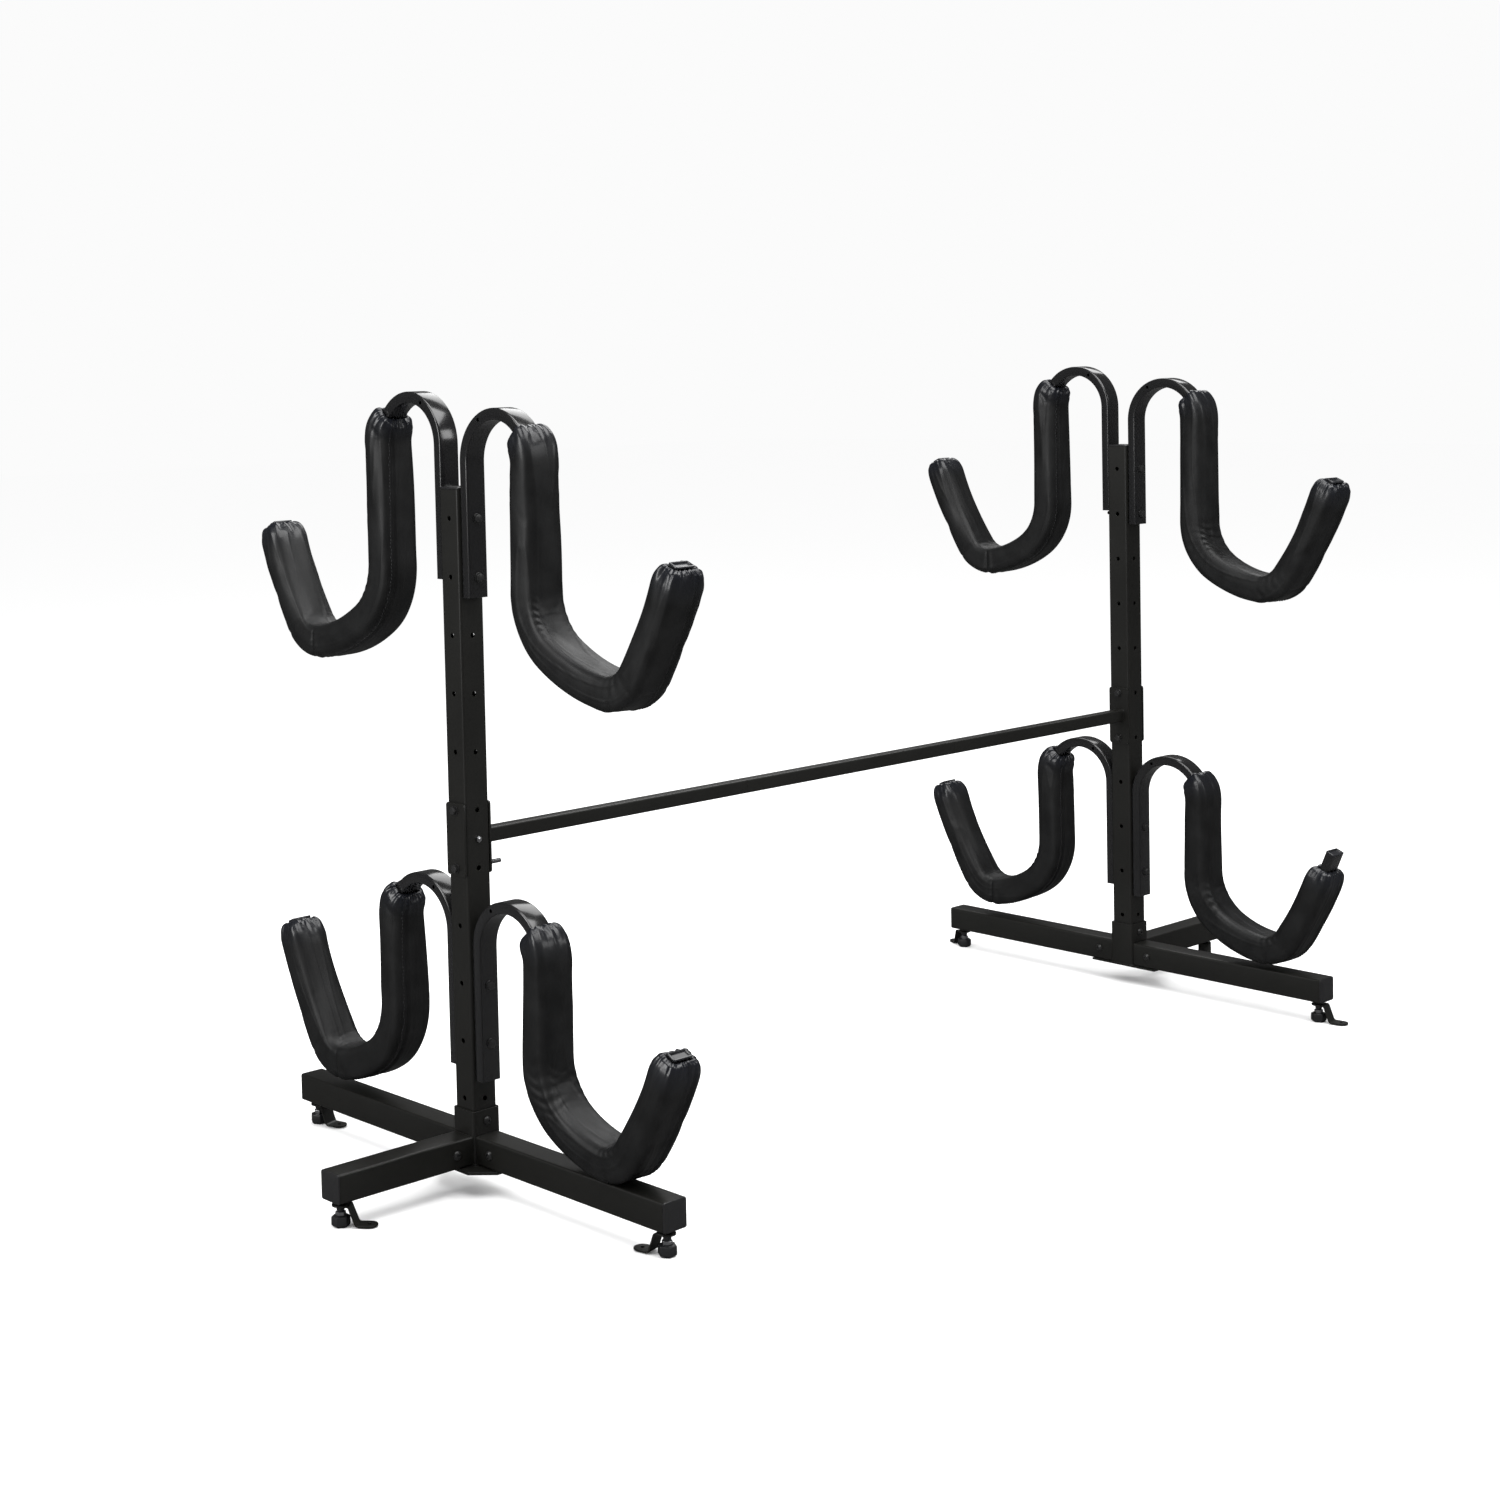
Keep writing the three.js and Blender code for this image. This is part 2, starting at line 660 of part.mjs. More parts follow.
function addSide(name, side) {
  const group = new THREE.Group();
  group.position.x = side * postSpacing / 2;
  stand.add(group);
  place(group, `${name}_post`, makePost(), "frame");
  const cap = place(group, `${name}_post_cap`, makeTubeCap(postWidth, postWall, postCorner), "plastic");
  cap.position.z = postTop;
  const hub = place(group, `${name}_hub`, makeHub(), "frame");
  const outward = side > 0 ? 0 : 180;
  hub.rotation.z = radians(outward);
  addLeg(group, `${name}_front`, sideLegReach, -90);
  addLeg(group, `${name}_rear`, sideLegReach, 90);
  addLeg(group, `${name}_outer`, outerLegReach, outward);
  const clamp = place(group, `${name}_clamp`, makeClamp(side), "frame");
  clamp.position.z = barHeight;
  const right = side > 0;
  const upper = right ? shortUpperArm : upperArm;
  const frontLower = right ? bareLowerArm : lowerArm;
  const frontLowerBare = right ? bareTipLong : bareTip;
  const arms = [
    ["front_upper", upperArchTop, upper, -1, bareTip],
    ["rear_upper", upperArchTop + upperRearLift, upper, 1, bareTip],
    ["front_lower", lowerArchTop, frontLower, -1, frontLowerBare],
    ["rear_lower", lowerArchTop + lowerRearLift, longLowerArm, 1, bareTip],
  ];
  const lift = right ? rightLift : 0;
  for (const [position, archTop, stretches, way, bare] of arms) {
    addArm(group, `${name}_${position}`, archTop + lift, stretches, way, bare);
  }
}

function addCrossbar() {
  const plateAt = postSpacing / 2 - post - fit - plateThickness / 2;
  const leftLength = plateAt + leftJoint - fit / 2 + plateThickness / 2;
  const rightLength = plateAt - rightJoint - fit / 2 + plateThickness / 2;
  const left = place(stand, "left_crossbar", makeEndBar(leftLength, 1), "frame");
  left.position.set(-plateAt, 0, barHeight);
  const middle = place(stand, "middle_crossbar", makeMiddleBar(), "frame");
  middle.position.z = barHeight;
  const right = place(stand, "right_crossbar", makeEndBar(rightLength, -1), "frame");
  right.position.set(plateAt, 0, barHeight);
}

addSide("left", -1);
addSide("right", 1);
addCrossbar();

export default stand;
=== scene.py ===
import math

import bmesh
import bpy
import numpy as np
from mathutils import Matrix, Vector, noise


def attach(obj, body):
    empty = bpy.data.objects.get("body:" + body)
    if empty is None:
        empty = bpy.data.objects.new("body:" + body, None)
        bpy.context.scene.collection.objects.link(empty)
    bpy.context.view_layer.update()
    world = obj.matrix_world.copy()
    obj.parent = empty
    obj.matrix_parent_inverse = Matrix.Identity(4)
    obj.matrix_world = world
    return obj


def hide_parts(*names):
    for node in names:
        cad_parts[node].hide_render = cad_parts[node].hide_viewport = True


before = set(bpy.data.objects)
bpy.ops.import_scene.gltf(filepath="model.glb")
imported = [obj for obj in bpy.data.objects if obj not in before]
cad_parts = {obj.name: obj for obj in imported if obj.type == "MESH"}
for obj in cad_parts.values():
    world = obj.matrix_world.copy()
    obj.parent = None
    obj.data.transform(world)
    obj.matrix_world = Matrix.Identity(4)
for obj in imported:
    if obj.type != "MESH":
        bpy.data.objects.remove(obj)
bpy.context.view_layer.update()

sides = {"left": -1, "right": 1}
print("frame loaded:", len(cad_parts), "nodes")

# Camera at the photograph's angle, worked out from the post holes, the crossbar and the leg ends
cameraSizes = {
    "place": (-3.448, -3.203, 1.400),
    "yaw": 41.45, "pitch": 3.10, "roll": 1.36,  # degrees
    "focal": 2386, "frame": 1500, "middle": (600, 500),  # in pixels of the photograph
    "sensor": 36, "near": 0.1, "far": 100,
}


def addObject(name, data):
    obj = bpy.data.objects.new(name, data)
    bpy.context.scene.collection.objects.link(obj)
    return obj


def makeCamera():
    sizes = cameraSizes
    yaw, pitch, roll = (math.radians(sizes[key]) for key in ("yaw", "pitch", "roll"))
    ahead = Vector((math.sin(yaw) * math.cos(pitch), math.cos(yaw) * math.cos(pitch), -math.sin(pitch)))
    level = Vector((math.cos(yaw), -math.sin(yaw), 0))
    down = ahead.cross(level)
    right = math.cos(roll) * level + math.sin(roll) * down
    up = math.sin(roll) * level - math.cos(roll) * down
    data = bpy.data.cameras.new("photoCamera")
    data.sensor_width = sizes["sensor"]
    data.lens = sizes["sensor"] * sizes["focal"] / sizes["frame"]
    data.shift_x = 0.5 - sizes["middle"][0] / sizes["frame"]
    data.shift_y = sizes["middle"][1] / sizes["frame"] - 0.5
    data.clip_start, data.clip_end = sizes["near"], sizes["far"]
    camera = addObject("photoCamera", data)
    turn = Matrix((right, up, -ahead)).transposed()
    camera.matrix_world = Matrix.Translation(sizes["place"]) @ turn.to_4x4()
    bpy.context.scene.camera = camera


makeCamera()


# Node helpers, for materials and for shapes

def feed(tree, slot, value):
    if isinstance(value, bpy.types.NodeSocket):
        tree.links.new(value, slot)
    else:
        slot.default_value = value


def wire(tree, node, inputs):
    for label, value in inputs.items():
        feed(tree, node.inputs[label], value)


def newNode(tree, kind, settings=None, **inputs):
    node = tree.nodes.new(kind)
    for key, value in (settings or {}).items():
        setattr(node, key, value)
    for key, value in inputs.items():  # i3 is the input with index 3, any other key is a name
        feed(tree, node.inputs[int(key[1:]) if key[1:].isdigit() else key], value)
    return node


def addNode(tree, kind, settings=None, **inputs):
    return newNode(tree, kind, settings, **inputs).outputs[0]


def newTree(name, kind, inputs, outputs):
    tree = bpy.data.node_groups.new(name, kind)
    for label, socket, value in inputs:
        slot = tree.interface.new_socket(name=label, in_out="INPUT", socket_type="NodeSocket" + socket)
        if value is not None:
            slot.default_value = value
    for label, socket in outputs:
        tree.interface.new_socket(name=label, in_out="OUTPUT", socket_type="NodeSocket" + socket)
    return tree, tree.nodes.new("NodeGroupInput").outputs, tree.nodes.new("NodeGroupOutput")


def giveOut(tree, result, **values):
    wire(tree, result, values)
    return tree


def mathNode(tree, operation, first, second=0.0):
    return addNode(tree, "ShaderNodeMath", {"operation": operation}, i0=first, i1=second)


def product(tree, first, second):
    return mathNode(tree, "MULTIPLY", first, second)


def mixColour(tree, share, *colours):
    first, second = (c if isinstance(c, bpy.types.NodeSocket) else (*c, 1) for c in colours)
    return newNode(tree, "ShaderNodeMix", {"data_type": "RGBA"}, i0=share, i6=first, i7=second).outputs[2]


def spread(tree, value, low, high, start=0.0, end=1.0):
    return addNode(tree, "ShaderNodeMapRange", i0=value, i1=start, i2=end, i3=low, i4=high)


def noiseNode(tree, vector, scale, detail=3.0, roughness=0.5):
    return addNode(tree, "ShaderNodeTexNoise", Vector=vector, Scale=scale, Detail=detail, Roughness=roughness)


def bumpNode(tree, strength, distance, height, **more):
    return addNode(tree, "ShaderNodeBump", Strength=strength, Distance=distance, Height=height, **more)


# Shader groups. The numbers are noise scales and the band of noise that shows.

groupSizes = {"peel": 260.0, "fineShare": 0.6, "cloud": 7.0, "streak": 38.0, "scuff": (0.64, 0.74),
              "upward": (0.2, 1.0), "speckle": 60.0, "patch": (0.35, 0.65), "tone": 22.0}


def makeCoatGroup():
    sizes = groupSizes
    inputs = [("Vector", "Vector", (0, 0, 0)), ("Grain", "Float", 900.0), ("Cloudiness", "Float", 0.5)]
    tree, given, result = newTree("coatGrain", "ShaderNodeTree", inputs,
                                  [("Height", "Float"), ("Cloud", "Float"), ("Scuff", "Float")])
    vector = given["Vector"]
    fine = product(tree, noiseNode(tree, vector, given["Grain"], 2.0), sizes["fineShare"])
    peel = product(tree, noiseNode(tree, vector, sizes["peel"], 1.0), 1 - sizes["fineShare"])
    cloud = noiseNode(tree, vector, sizes["cloud"], 4.0)
    streak = noiseNode(tree, vector, sizes["streak"], 6.0, 0.75)
    return giveOut(tree, result, Height=mathNode(tree, "ADD", fine, peel),
                   Cloud=product(tree, cloud, given["Cloudiness"]),
                   Scuff=spread(tree, streak, 0.0, 1.0, *sizes["scuff"]))


def makeDustGroup():
    sizes = groupSizes
    inputs = [("Vector", "Vector", (0, 0, 0)), ("Amount", "Float", 0.2)]
    tree, given, result = newTree("dustFilm", "ShaderNodeTree", inputs, [("Mask", "Float")])
    shape = tree.nodes.new("ShaderNodeTexCoord")
    facing = newNode(tree, "ShaderNodeSeparateXYZ", Vector=shape.outputs["Normal"]).outputs[2]
    upward = spread(tree, facing, 0.0, 1.0, *sizes["upward"])
    speckle = noiseNode(tree, given["Vector"], sizes["speckle"], 5.0, 0.7)
    patch = spread(tree, speckle, 0.3, 1.0, *sizes["patch"])
    return giveOut(tree, result, Mask=product(tree, product(tree, upward, patch), given["Amount"]))


def makeWeaveGroup():
    inputs = [("Vector", "Vector", (0, 0, 0)), ("Threads", "Float", 900.0)]
    tree, given, result = newTree("clothWeave", "ShaderNodeTree", inputs,
                                  [("Height", "Float"), ("Tone", "Float")])
    parts = newNode(tree, "ShaderNodeSeparateXYZ", Vector=given["Vector"]).outputs
    waves = [mathNode(tree, "ABSOLUTE", mathNode(tree, "SINE", product(tree, parts[axis], given["Threads"])))
             for axis in (0, 1)]
    return giveOut(tree, result, Height=product(tree, *waves),
                   Tone=noiseNode(tree, given["Vector"], groupSizes["tone"], 4.0))


groups = {"coat": makeCoatGroup(), "dust": makeDustGroup(), "weave": makeWeaveGroup()}


# Materials

def useGroup(tree, key, **inputs):
    return newNode(tree, "ShaderNodeGroup", {"node_tree": groups[key]}, **inputs).outputs


def newMaterial(name):
    material = bpy.data.materials.new(name)
    material.use_nodes = True
    tree = material.node_tree
    return material, tree, tree.nodes["Principled BSDF"], tree.nodes.new("ShaderNodeTexCoord").outputs


# What each finish has of its own stands in coatedLooks; the rest comes from plainLook
plainLook = {"grain": 1600.0, "clouds": 1.0, "depth": 0.0004, "dust": 0.02, "dustColour": (0.2, 0.2, 0.2),
             "scuff": 0.0, "coat": 0.0, "coatGloss": 0.10, "specular": 0.5, "metal": 0.0, "lift": 1.7}
paintLook = {"clouds": 0.9, "depth": 0.0006, "dustColour": (0.22, 0.21, 0.19), "scuff": 0.10}
coatedLooks = {
    "frameSteel": {**paintLook, "colour": (0.0045, 0.0045, 0.0039), "lighter": (0.0085, 0.0084, 0.0072),
                   "gloss": (0.32, 0.44), "grain": 900.0, "bump": 0.10, "dust": 0.015, "specular": 0.40},
    "armSteel": {**paintLook, "colour": (0.0050, 0.0050, 0.0054), "lighter": (0.0085, 0.0085, 0.0088),
                 "gloss": (0.15, 0.24), "grain": 500.0, "bump": 0.030, "dust": 0.010, "coat": 0.4},
    "boltBlack": {**paintLook, "colour": (0.0070, 0.0070, 0.0072), "lighter": (0.016, 0.016, 0.016),
                  "gloss": (0.24, 0.36), "grain": 1400.0, "bump": 0.08, "dust": 0.010},
    "capPlastic": {"colour": (0.0065, 0.0065, 0.0070), "gloss": (0.28, 0.42), "bump": 0.12},
    "plugPlastic": {"colour": (0.010, 0.0105, 0.012), "gloss": (0.10, 0.20), "bump": 0.05},
    "footPlastic": {"colour": (0.0070, 0.0072, 0.0080), "gloss": (0.34, 0.48), "bump": 0.16},
    "zincPlate": {"colour": (0.50, 0.51, 0.53), "lighter": (0.78, 0.78, 0.80), "gloss": (0.16, 0.42),
                  "grain": 2200.0, "bump": 0.12, "depth": 0.0003, "dust": 0.0, "metal": 1.0},
}


def makeCoated(name):
    look = {**plainLook, **coatedLooks[name]}
    material, tree, shader, place = newMaterial(name)
    spot = place["Object"]
    grain = useGroup(tree, "coat", Vector=spot, Grain=look["grain"], Cloudiness=look["clouds"])
    cloud = grain["Cloud"]
    lighter = look.get("lighter") or [part * look["lift"] for part in look["colour"]]
    colour = mixColour(tree, cloud, look["colour"], lighter)
    if look["dust"]:
        dust = useGroup(tree, "dust", Vector=spot, Amount=look["dust"])
        colour = mixColour(tree, dust["Mask"], colour, look["dustColour"])
    rough = spread(tree, cloud, *look["gloss"])
    if look["scuff"]:
        rough = mathNode(tree, "ADD", rough, product(tree, grain["Scuff"], look["scuff"]))
    wire(tree, shader, {"Base Color": colour, "Roughness": rough, "Coat Weight": look["coat"],
                        "Coat Roughness": look["coatGloss"], "Specular IOR Level": look["specular"],
                        "Metallic": look["metal"],
                        "Normal": bumpNode(tree, look["bump"], look["depth"], grain["Height"])})
    return material


# The bluish colour on the cover's gathered ends is a painted sheen: a reflection mixed into the base colour
coverLook = {"colour": (0.0030, 0.0031, 0.0033), "worn": (0.0060, 0.0062, 0.0064), "wear": (0.35, 0.7),
             "sheenPaintColour": (0.0050, 0.0062, 0.0105), "dust": 0.010, "dustColour": (0.16, 0.16, 0.17),
             "threads": 2900.0, "creases": (42, 14, 1), "gloss": (0.40, 0.54), "weave": 0.10,
             "weaveDepth": 0.0003, "wrinkle": 0.22, "wrinkleDepth": 0.0014, "specular": 0.34,
             "sheenPaintShare": 0.7, "shine": 0.16, "coat": 0.5, "coatGloss": 0.16}


def makeCover():
    look = coverLook
    material, tree, shader, place = newMaterial("padCover")
    weave = useGroup(tree, "weave", Vector=place["UV"], Threads=look["threads"])
    dust = useGroup(tree, "dust", Vector=place["Object"], Amount=look["dust"])
    # The pleat gloss attribute gives the ends lower roughness and a coat, and also sets the share of the
    # painted bluish sheen
    pleat = newNode(tree, "ShaderNodeAttribute", {"attribute_name": "pleatGlossAndPaintedSheen"}).outputs["Fac"]
    wear = spread(tree, weave["Tone"], 0.0, 1.0, *look["wear"])
    colour = mixColour(tree, wear, look["colour"], look["worn"])
    # Painted sheen: a bluish reflection mixed into the base colour towards the gathered ends
    colour = mixColour(tree, product(tree, pleat, look["sheenPaintShare"]), colour, look["sheenPaintColour"])
    colour = mixColour(tree, dust["Mask"], colour, look["dustColour"])
    stretch = addNode(tree, "ShaderNodeMapping", Vector=place["UV"], Scale=look["creases"])
    crease = noiseNode(tree, stretch, 1.0, 2.0)
    matt = spread(tree, crease, *look["gloss"], 0.3, 0.7)
    broad = bumpNode(tree, look["wrinkle"], look["wrinkleDepth"], crease)
    fine = bumpNode(tree, look["weave"], look["weaveDepth"], weave["Height"], Normal=broad)
    wire(tree, shader, {"Base Color": colour, "Specular IOR Level": look["specular"],
                        "Roughness": mathNode(tree, "SUBTRACT", matt, product(tree, pleat, look["shine"])),
                        "Coat Weight": product(tree, pleat, look["coat"]),
                        "Coat Roughness": look["coatGloss"],
                        "Normal": fine})
    return material


threadLook = {"ply": 700.0, "colour": (0.012, 0.012, 0.013), "lighter": (0.045, 0.045, 0.048),
              "rough": 0.7, "bump": 0.3, "depth": 0.0003}


def makeThread():
    look = threadLook
    material, tree, shader, place = newMaterial("coverThread")
    ply = noiseNode(tree, place["Object"], look["ply"], 2.0)
    wire(tree, shader, {"Base Color": mixColour(tree, ply, look["colour"], look["lighter"]),
                        "Normal": bumpNode(tree, look["bump"], look["depth"], ply),
                        "Roughness": look["rough"]})
    return material


finish = {name: makeCoated(name) for name in coatedLooks}
finish.update({"padCover": makeCover(), "coverThread": makeThread()})
print("materials made:", len(finish))


# Mesh helpers. A part is a pair of vertex places and faces.

shading = {"weld": 0.00001, "angle": 32, "flatAbove": 8}


def newObject(name, part, look, edges=()):
    verts, faces = part
    mesh = bpy.data.meshes.new(name)
    mesh.from_pydata([tuple(v) for v in verts], list(edges), faces)
    mesh.materials.append(finish[look])
    return addObject(name, mesh)


def lineOf(points):
    return (points, []), [(index, index + 1) for index in range(len(points) - 1)]


def shadeEdges(obj, angle=shading["angle"], flatAbove=math.inf, weld=False, outward=False):
    shape = bmesh.new()
    shape.from_mesh(obj.data)
    if weld:
        bmesh.ops.remove_doubles(shape, verts=shape.verts, dist=shading["weld"])
    if outward:
        bmesh.ops.recalc_face_normals(shape, faces=shape.faces)
    for edge in shape.edges:
        edge.smooth = edge.calc_face_angle(0) < math.radians(angle)
    for face in shape.faces:
        face.smooth = len(face.verts) <= flatAbove
    shape.to_mesh(obj.data)
    shape.free()


def declare(obj, node=None, body="stand"):
    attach(obj, body)
    if node:
        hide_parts(node)
    return obj


def finishPiece(obj, slot, node=None, body="stand", bevel=0.0, segments=2, angle=shading["angle"]):
    shadeEdges(obj, angle, shading["flatAbove"], weld=True, outward=True)
    if bevel:
        modifier = obj.modifiers.new("softEdges", "BEVEL")
        modifier.width = bevel
        modifier.segments = segments
        modifier.limit_method = "ANGLE"
        modifier.angle_limit = math.radians(angle)
        modifier.use_clamp_overlap = True
        modifier.harden_normals = True
    return declare(obj, node, body)


def makePiece(name, part, look, slot, node=None, place=None, **more):
    part = part if place is None else moved(part, place)
    return finishPiece(newObject(name, part, look), slot, node, **more)


def joinMeshes(parts):
    verts, faces = [], []
    for partVerts, partFaces in parts:
        start = len(verts)
        verts += [Vector(v) for v in partVerts]
        faces += [tuple(index + start for index in face) for face in partFaces]
    return verts, faces


def roundedRectangle(width, depth, corner, steps=5):
    points = []
    for quarter, (sx, sy) in enumerate(((1, 1), (-1, 1), (-1, -1), (1, -1))):
        for step in range(steps + 1):
            angle = (quarter + step / steps) * math.pi / 2
            points.append((sx * (width / 2 - corner) + corner * math.cos(angle),
                           sy * (depth / 2 - corner) + corner * math.sin(angle)))
    return points


def loftRings(rings, closeEnds=True):
    verts = [Vector(point) for ring in rings for point in ring]
    count = len(rings[0])
    faces = []
    for low in range(0, (len(rings) - 1) * count, count):
        for side in range(count):
            after = (side + 1) % count
            faces.append((low + side, low + after, low + count + after, low + count + side))
    if closeEnds:
        faces.append(tuple(reversed(range(count))))
        faces.append(tuple(range((len(rings) - 1) * count, len(rings) * count)))
    return verts, faces


def prism(points, low, high, bore=None):
    outer = [[(x, y, z) for x, y in points] for z in (low, high)]
    if not bore:
        return loftRings(outer)
    verts, faces = loftRings(outer + [[(x, y, z) for x, y in bore] for z in (high, low)], False)
    count = len(points)
    start = 3 * count
    for side in range(count):
        after = (side + 1) % count
        faces.append((start + side, start + after, after, side))
    return verts, faces


def squareTube(sizes, low, high):
    width, bore = sizes["width"], sizes["width"] - 2 * sizes["wall"]
    return prism(roundedRectangle(width, width, sizes["corner"]), low, high,
                 roundedRectangle(bore, bore, sizes["boreCorner"]))


def circle(radius, count, phase=0.0):
    angles = [2 * math.pi * (side + phase) / count for side in range(count)]
    return [(radius * math.cos(angle), radius * math.sin(angle)) for angle in angles]


def turned(sections, count, phase=0.0):
    return loftRings([[(x, y, height) for x, y in circle(radius, count, phase)]
                      for radius, height in sections])


def hexagon(flats, low, high, chamfer):
    corner = flats / 2 / math.cos(math.pi / 6)
    return turned([(corner - chamfer, low), (corner, low + chamfer * 0.6), (corner, high - chamfer * 0.6),
                   (corner - chamfer, high)], 6, 0.5)


def moved(part, matrix):
    verts, faces = part
    return [matrix @ Vector(v) for v in verts], faces


def aim(direction, place=(0, 0, 0)):
    turn = Vector(direction).to_track_quat("Z", "Y").to_matrix().to_4x4()
    return Matrix.Translation(place) @ turn


def laidAlong(height, start=0.0):  # turns a part that stands along Z to lie along X
    length, across = Vector((1, 0, 0)), Vector((0, 1, 0))
    turn = Matrix((across, length.cross(across), length)).transposed()
    return Matrix.Translation((start, 0, height)) @ turn.to_4x4()


def turnedBy(degrees):
    return Matrix.Rotation(math.radians(degrees), 4, "Z")


def bakePlain(obj):
    graph = bpy.context.evaluated_depsgraph_get()
    shown = obj.evaluated_get(graph)
    plain = bpy.data.meshes.new_from_object(shown, preserve_all_data_layers=True, depsgraph=graph)
    obj.modifiers.clear()
    obj.data = plain
    return obj


# Geometry node trees

def newShapeTree(name, inputs):
    inputs = [("Geometry", "Geometry", None)] + inputs + [("Finish", "Material", None)]
    return newTree(name, "GeometryNodeTree", inputs, [("Geometry", "Geometry")])


def closeTree(tree, given, result, geometry):
    real = addNode(tree, "GeometryNodeRealizeInstances", i0=geometry)
    painted = addNode(tree, "GeometryNodeSetMaterial", Geometry=real, Material=given["Finish"])
    return giveOut(tree, result, Geometry=painted)


def runTree(obj, key, look, **values):
    tree = trees[key]
    modifier = obj.modifiers.new(tree.name, "NODES")
    modifier.node_group = tree
    names = {item.name: item.identifier for item in tree.interface.items_tree
             if item.item_type == "SOCKET" and item.in_out == "INPUT"}
    for label, value in dict(values, Finish=finish[look]).items():
        modifier[names[label]] = value
    obj.update_tag()
    bpy.context.view_layer.update()
    return bakePlain(obj)


def makeSweepTree():
    tree, given, result = newShapeTree("sweptTube", [
        ("Width", "Float", 0.04), ("Depth", "Float", 0.02), ("Corner", "Float", 0.003), ("Steps", "Int", 3)])
    line = addNode(tree, "GeometryNodeMeshToCurve", i0=given["Geometry"])
    aimed = addNode(tree, "GeometryNodeSetCurveNormal", {"mode": "FREE"}, i0=line, Normal=(1, 0, 0))
    outline = addNode(tree, "GeometryNodeCurvePrimitiveQuadrilateral", Width=given["Width"],
                      Height=given["Depth"])
    rounded = addNode(tree, "GeometryNodeFilletCurve", {"mode": "POLY"}, i0=outline, Radius=given["Corner"],
                      Count=given["Steps"])
    swept = addNode(tree, "GeometryNodeCurveToMesh", i0=aimed, i1=rounded)
    return closeTree(tree, given, result, swept)


def makePunchTree():
    tree, given, result = newShapeTree("punchedRow", [
        ("Radius", "Float", 0.0045), ("Pitch", "Float", 0.1), ("Start", "Float", 0.1556),
        ("Holes", "Int", 11), ("Reach", "Float", 0.1), ("Middle", "Vector", (0, 0, 0))])
    drill = addNode(tree, "GeometryNodeMeshCylinder", Vertices=24, Radius=given["Radius"],
                    Depth=given["Reach"])
    step = addNode(tree, "ShaderNodeCombineXYZ", Z=given["Pitch"])
    rise = addNode(tree, "ShaderNodeCombineXYZ", Z=given["Start"])
    first = addNode(tree, "ShaderNodeVectorMath", {"operation": "ADD"}, i0=rise, i1=given["Middle"])
    row = addNode(tree, "GeometryNodeMeshLine", Count=given["Holes"], Offset=step,
                  **{"Start Location": first})
    cutters = newNode(tree, "GeometryNodeJoinGeometry")
    for turn in ((math.pi / 2, 0, 0), (0, math.pi / 2, 0)):
        feed(tree, cutters.inputs[0],
             addNode(tree, "GeometryNodeInstanceOnPoints", Points=row, Instance=drill, Rotation=turn))
    real = addNode(tree, "GeometryNodeRealizeInstances", i0=cutters.outputs[0])
    cut = addNode(tree, "GeometryNodeMeshBoolean", {"operation": "DIFFERENCE", "solver": "EXACT"},
                  **{"Mesh 1": given["Geometry"], "Mesh 2": real, "Self Intersection": True})
    return closeTree(tree, given, result, cut)


def addCopies(tree, points, piece, facing, **more):
    turn = addNode(tree, "FunctionNodeAlignRotationToVector", {"axis": "Z"}, Vector=facing)
    return addNode(tree, "GeometryNodeInstanceOnPoints", Points=points, Instance=piece, Rotation=turn, **more)


def makeRowTree():
    tree, given, result = newShapeTree("fastenerRow", [("Piece", "Object", None)])
    source = newNode(tree, "GeometryNodeObjectInfo", Object=given["Piece"]).outputs["Geometry"]
    facing = addNode(tree, "GeometryNodeInputNamedAttribute", {"data_type": "FLOAT_VECTOR"}, Name="facing")
    return closeTree(tree, given, result, addCopies(tree, given["Geometry"], source, facing))


def makeStitchTree():
    tree, given, result = newShapeTree("stitchLine", [
        ("Spacing", "Float", 0.006), ("Length", "Float", 0.0036), ("Thickness", "Float", 0.0008)])
    line = addNode(tree, "GeometryNodeMeshToCurve", i0=given["Geometry"])
    spaced = addNode(tree, "GeometryNodeResampleCurve", {"mode": "LENGTH"}, i0=line, Length=given["Spacing"])
    points = newNode(tree, "GeometryNodeCurveToPoints", {"mode": "EVALUATED"}, i0=spaced).outputs
    bead = addNode(tree, "GeometryNodeMeshIcoSphere", Radius=0.5, Subdivisions=1)
    thick = given["Thickness"]
    size = addNode(tree, "ShaderNodeCombineXYZ", X=thick, Y=thick, Z=given["Length"])
    copies = addCopies(tree, points["Points"], bead, points["Tangent"], Scale=size)
    return closeTree(tree, given, result, copies)


trees = {"sweep": makeSweepTree(), "punch": makePunchTree(), "row": makeRowTree(), "stitch": makeStitchTree()}
print("node trees made:", len(trees))


# Posts

postSizes = {"spacing": 1.875, "width": 0.050, "wall": 0.002, "corner": 0.004, "boreCorner": 0.002,
             "bottom": 0.045, "top": 1.205, "hole": 0.009, "pitch": 0.100, "firstHole": 0.1556, "holes": 11,
             "gap": 0.0003, "cap": 0.004, "dome": 0.0004, "stem": 0.0454, "stemCorner": 0.002,
             "stemDrop": 0.009, "stemRise": 0.001, "soft": 0.0003}
postHalf = postSizes["width"] / 2


def postX(side):
    return sides[side] * postSizes["spacing"] / 2


def atPost(side, height=0.0):
    return Matrix.Translation((postX(side), 0, height))


def holeHeight(index):
    return postSizes["firstHole"] + index * postSizes["pitch"]


def makePost(side):
    sizes = postSizes
    tube = moved(squareTube(sizes, sizes["bottom"], sizes["top"]), atPost(side))
    obj = newObject(f"{side}_post_tube", tube, "frameSteel")
    runTree(obj, "punch", "frameSteel", Radius=sizes["hole"] / 2, Pitch=sizes["pitch"],
            Start=sizes["firstHole"], Holes=sizes["holes"], Reach=sizes["width"] * 2,
            Middle=(postX(side), 0, 0))
    finishPiece(obj, "frame_steel", f"{side}_post", bevel=sizes["soft"], segments=1)


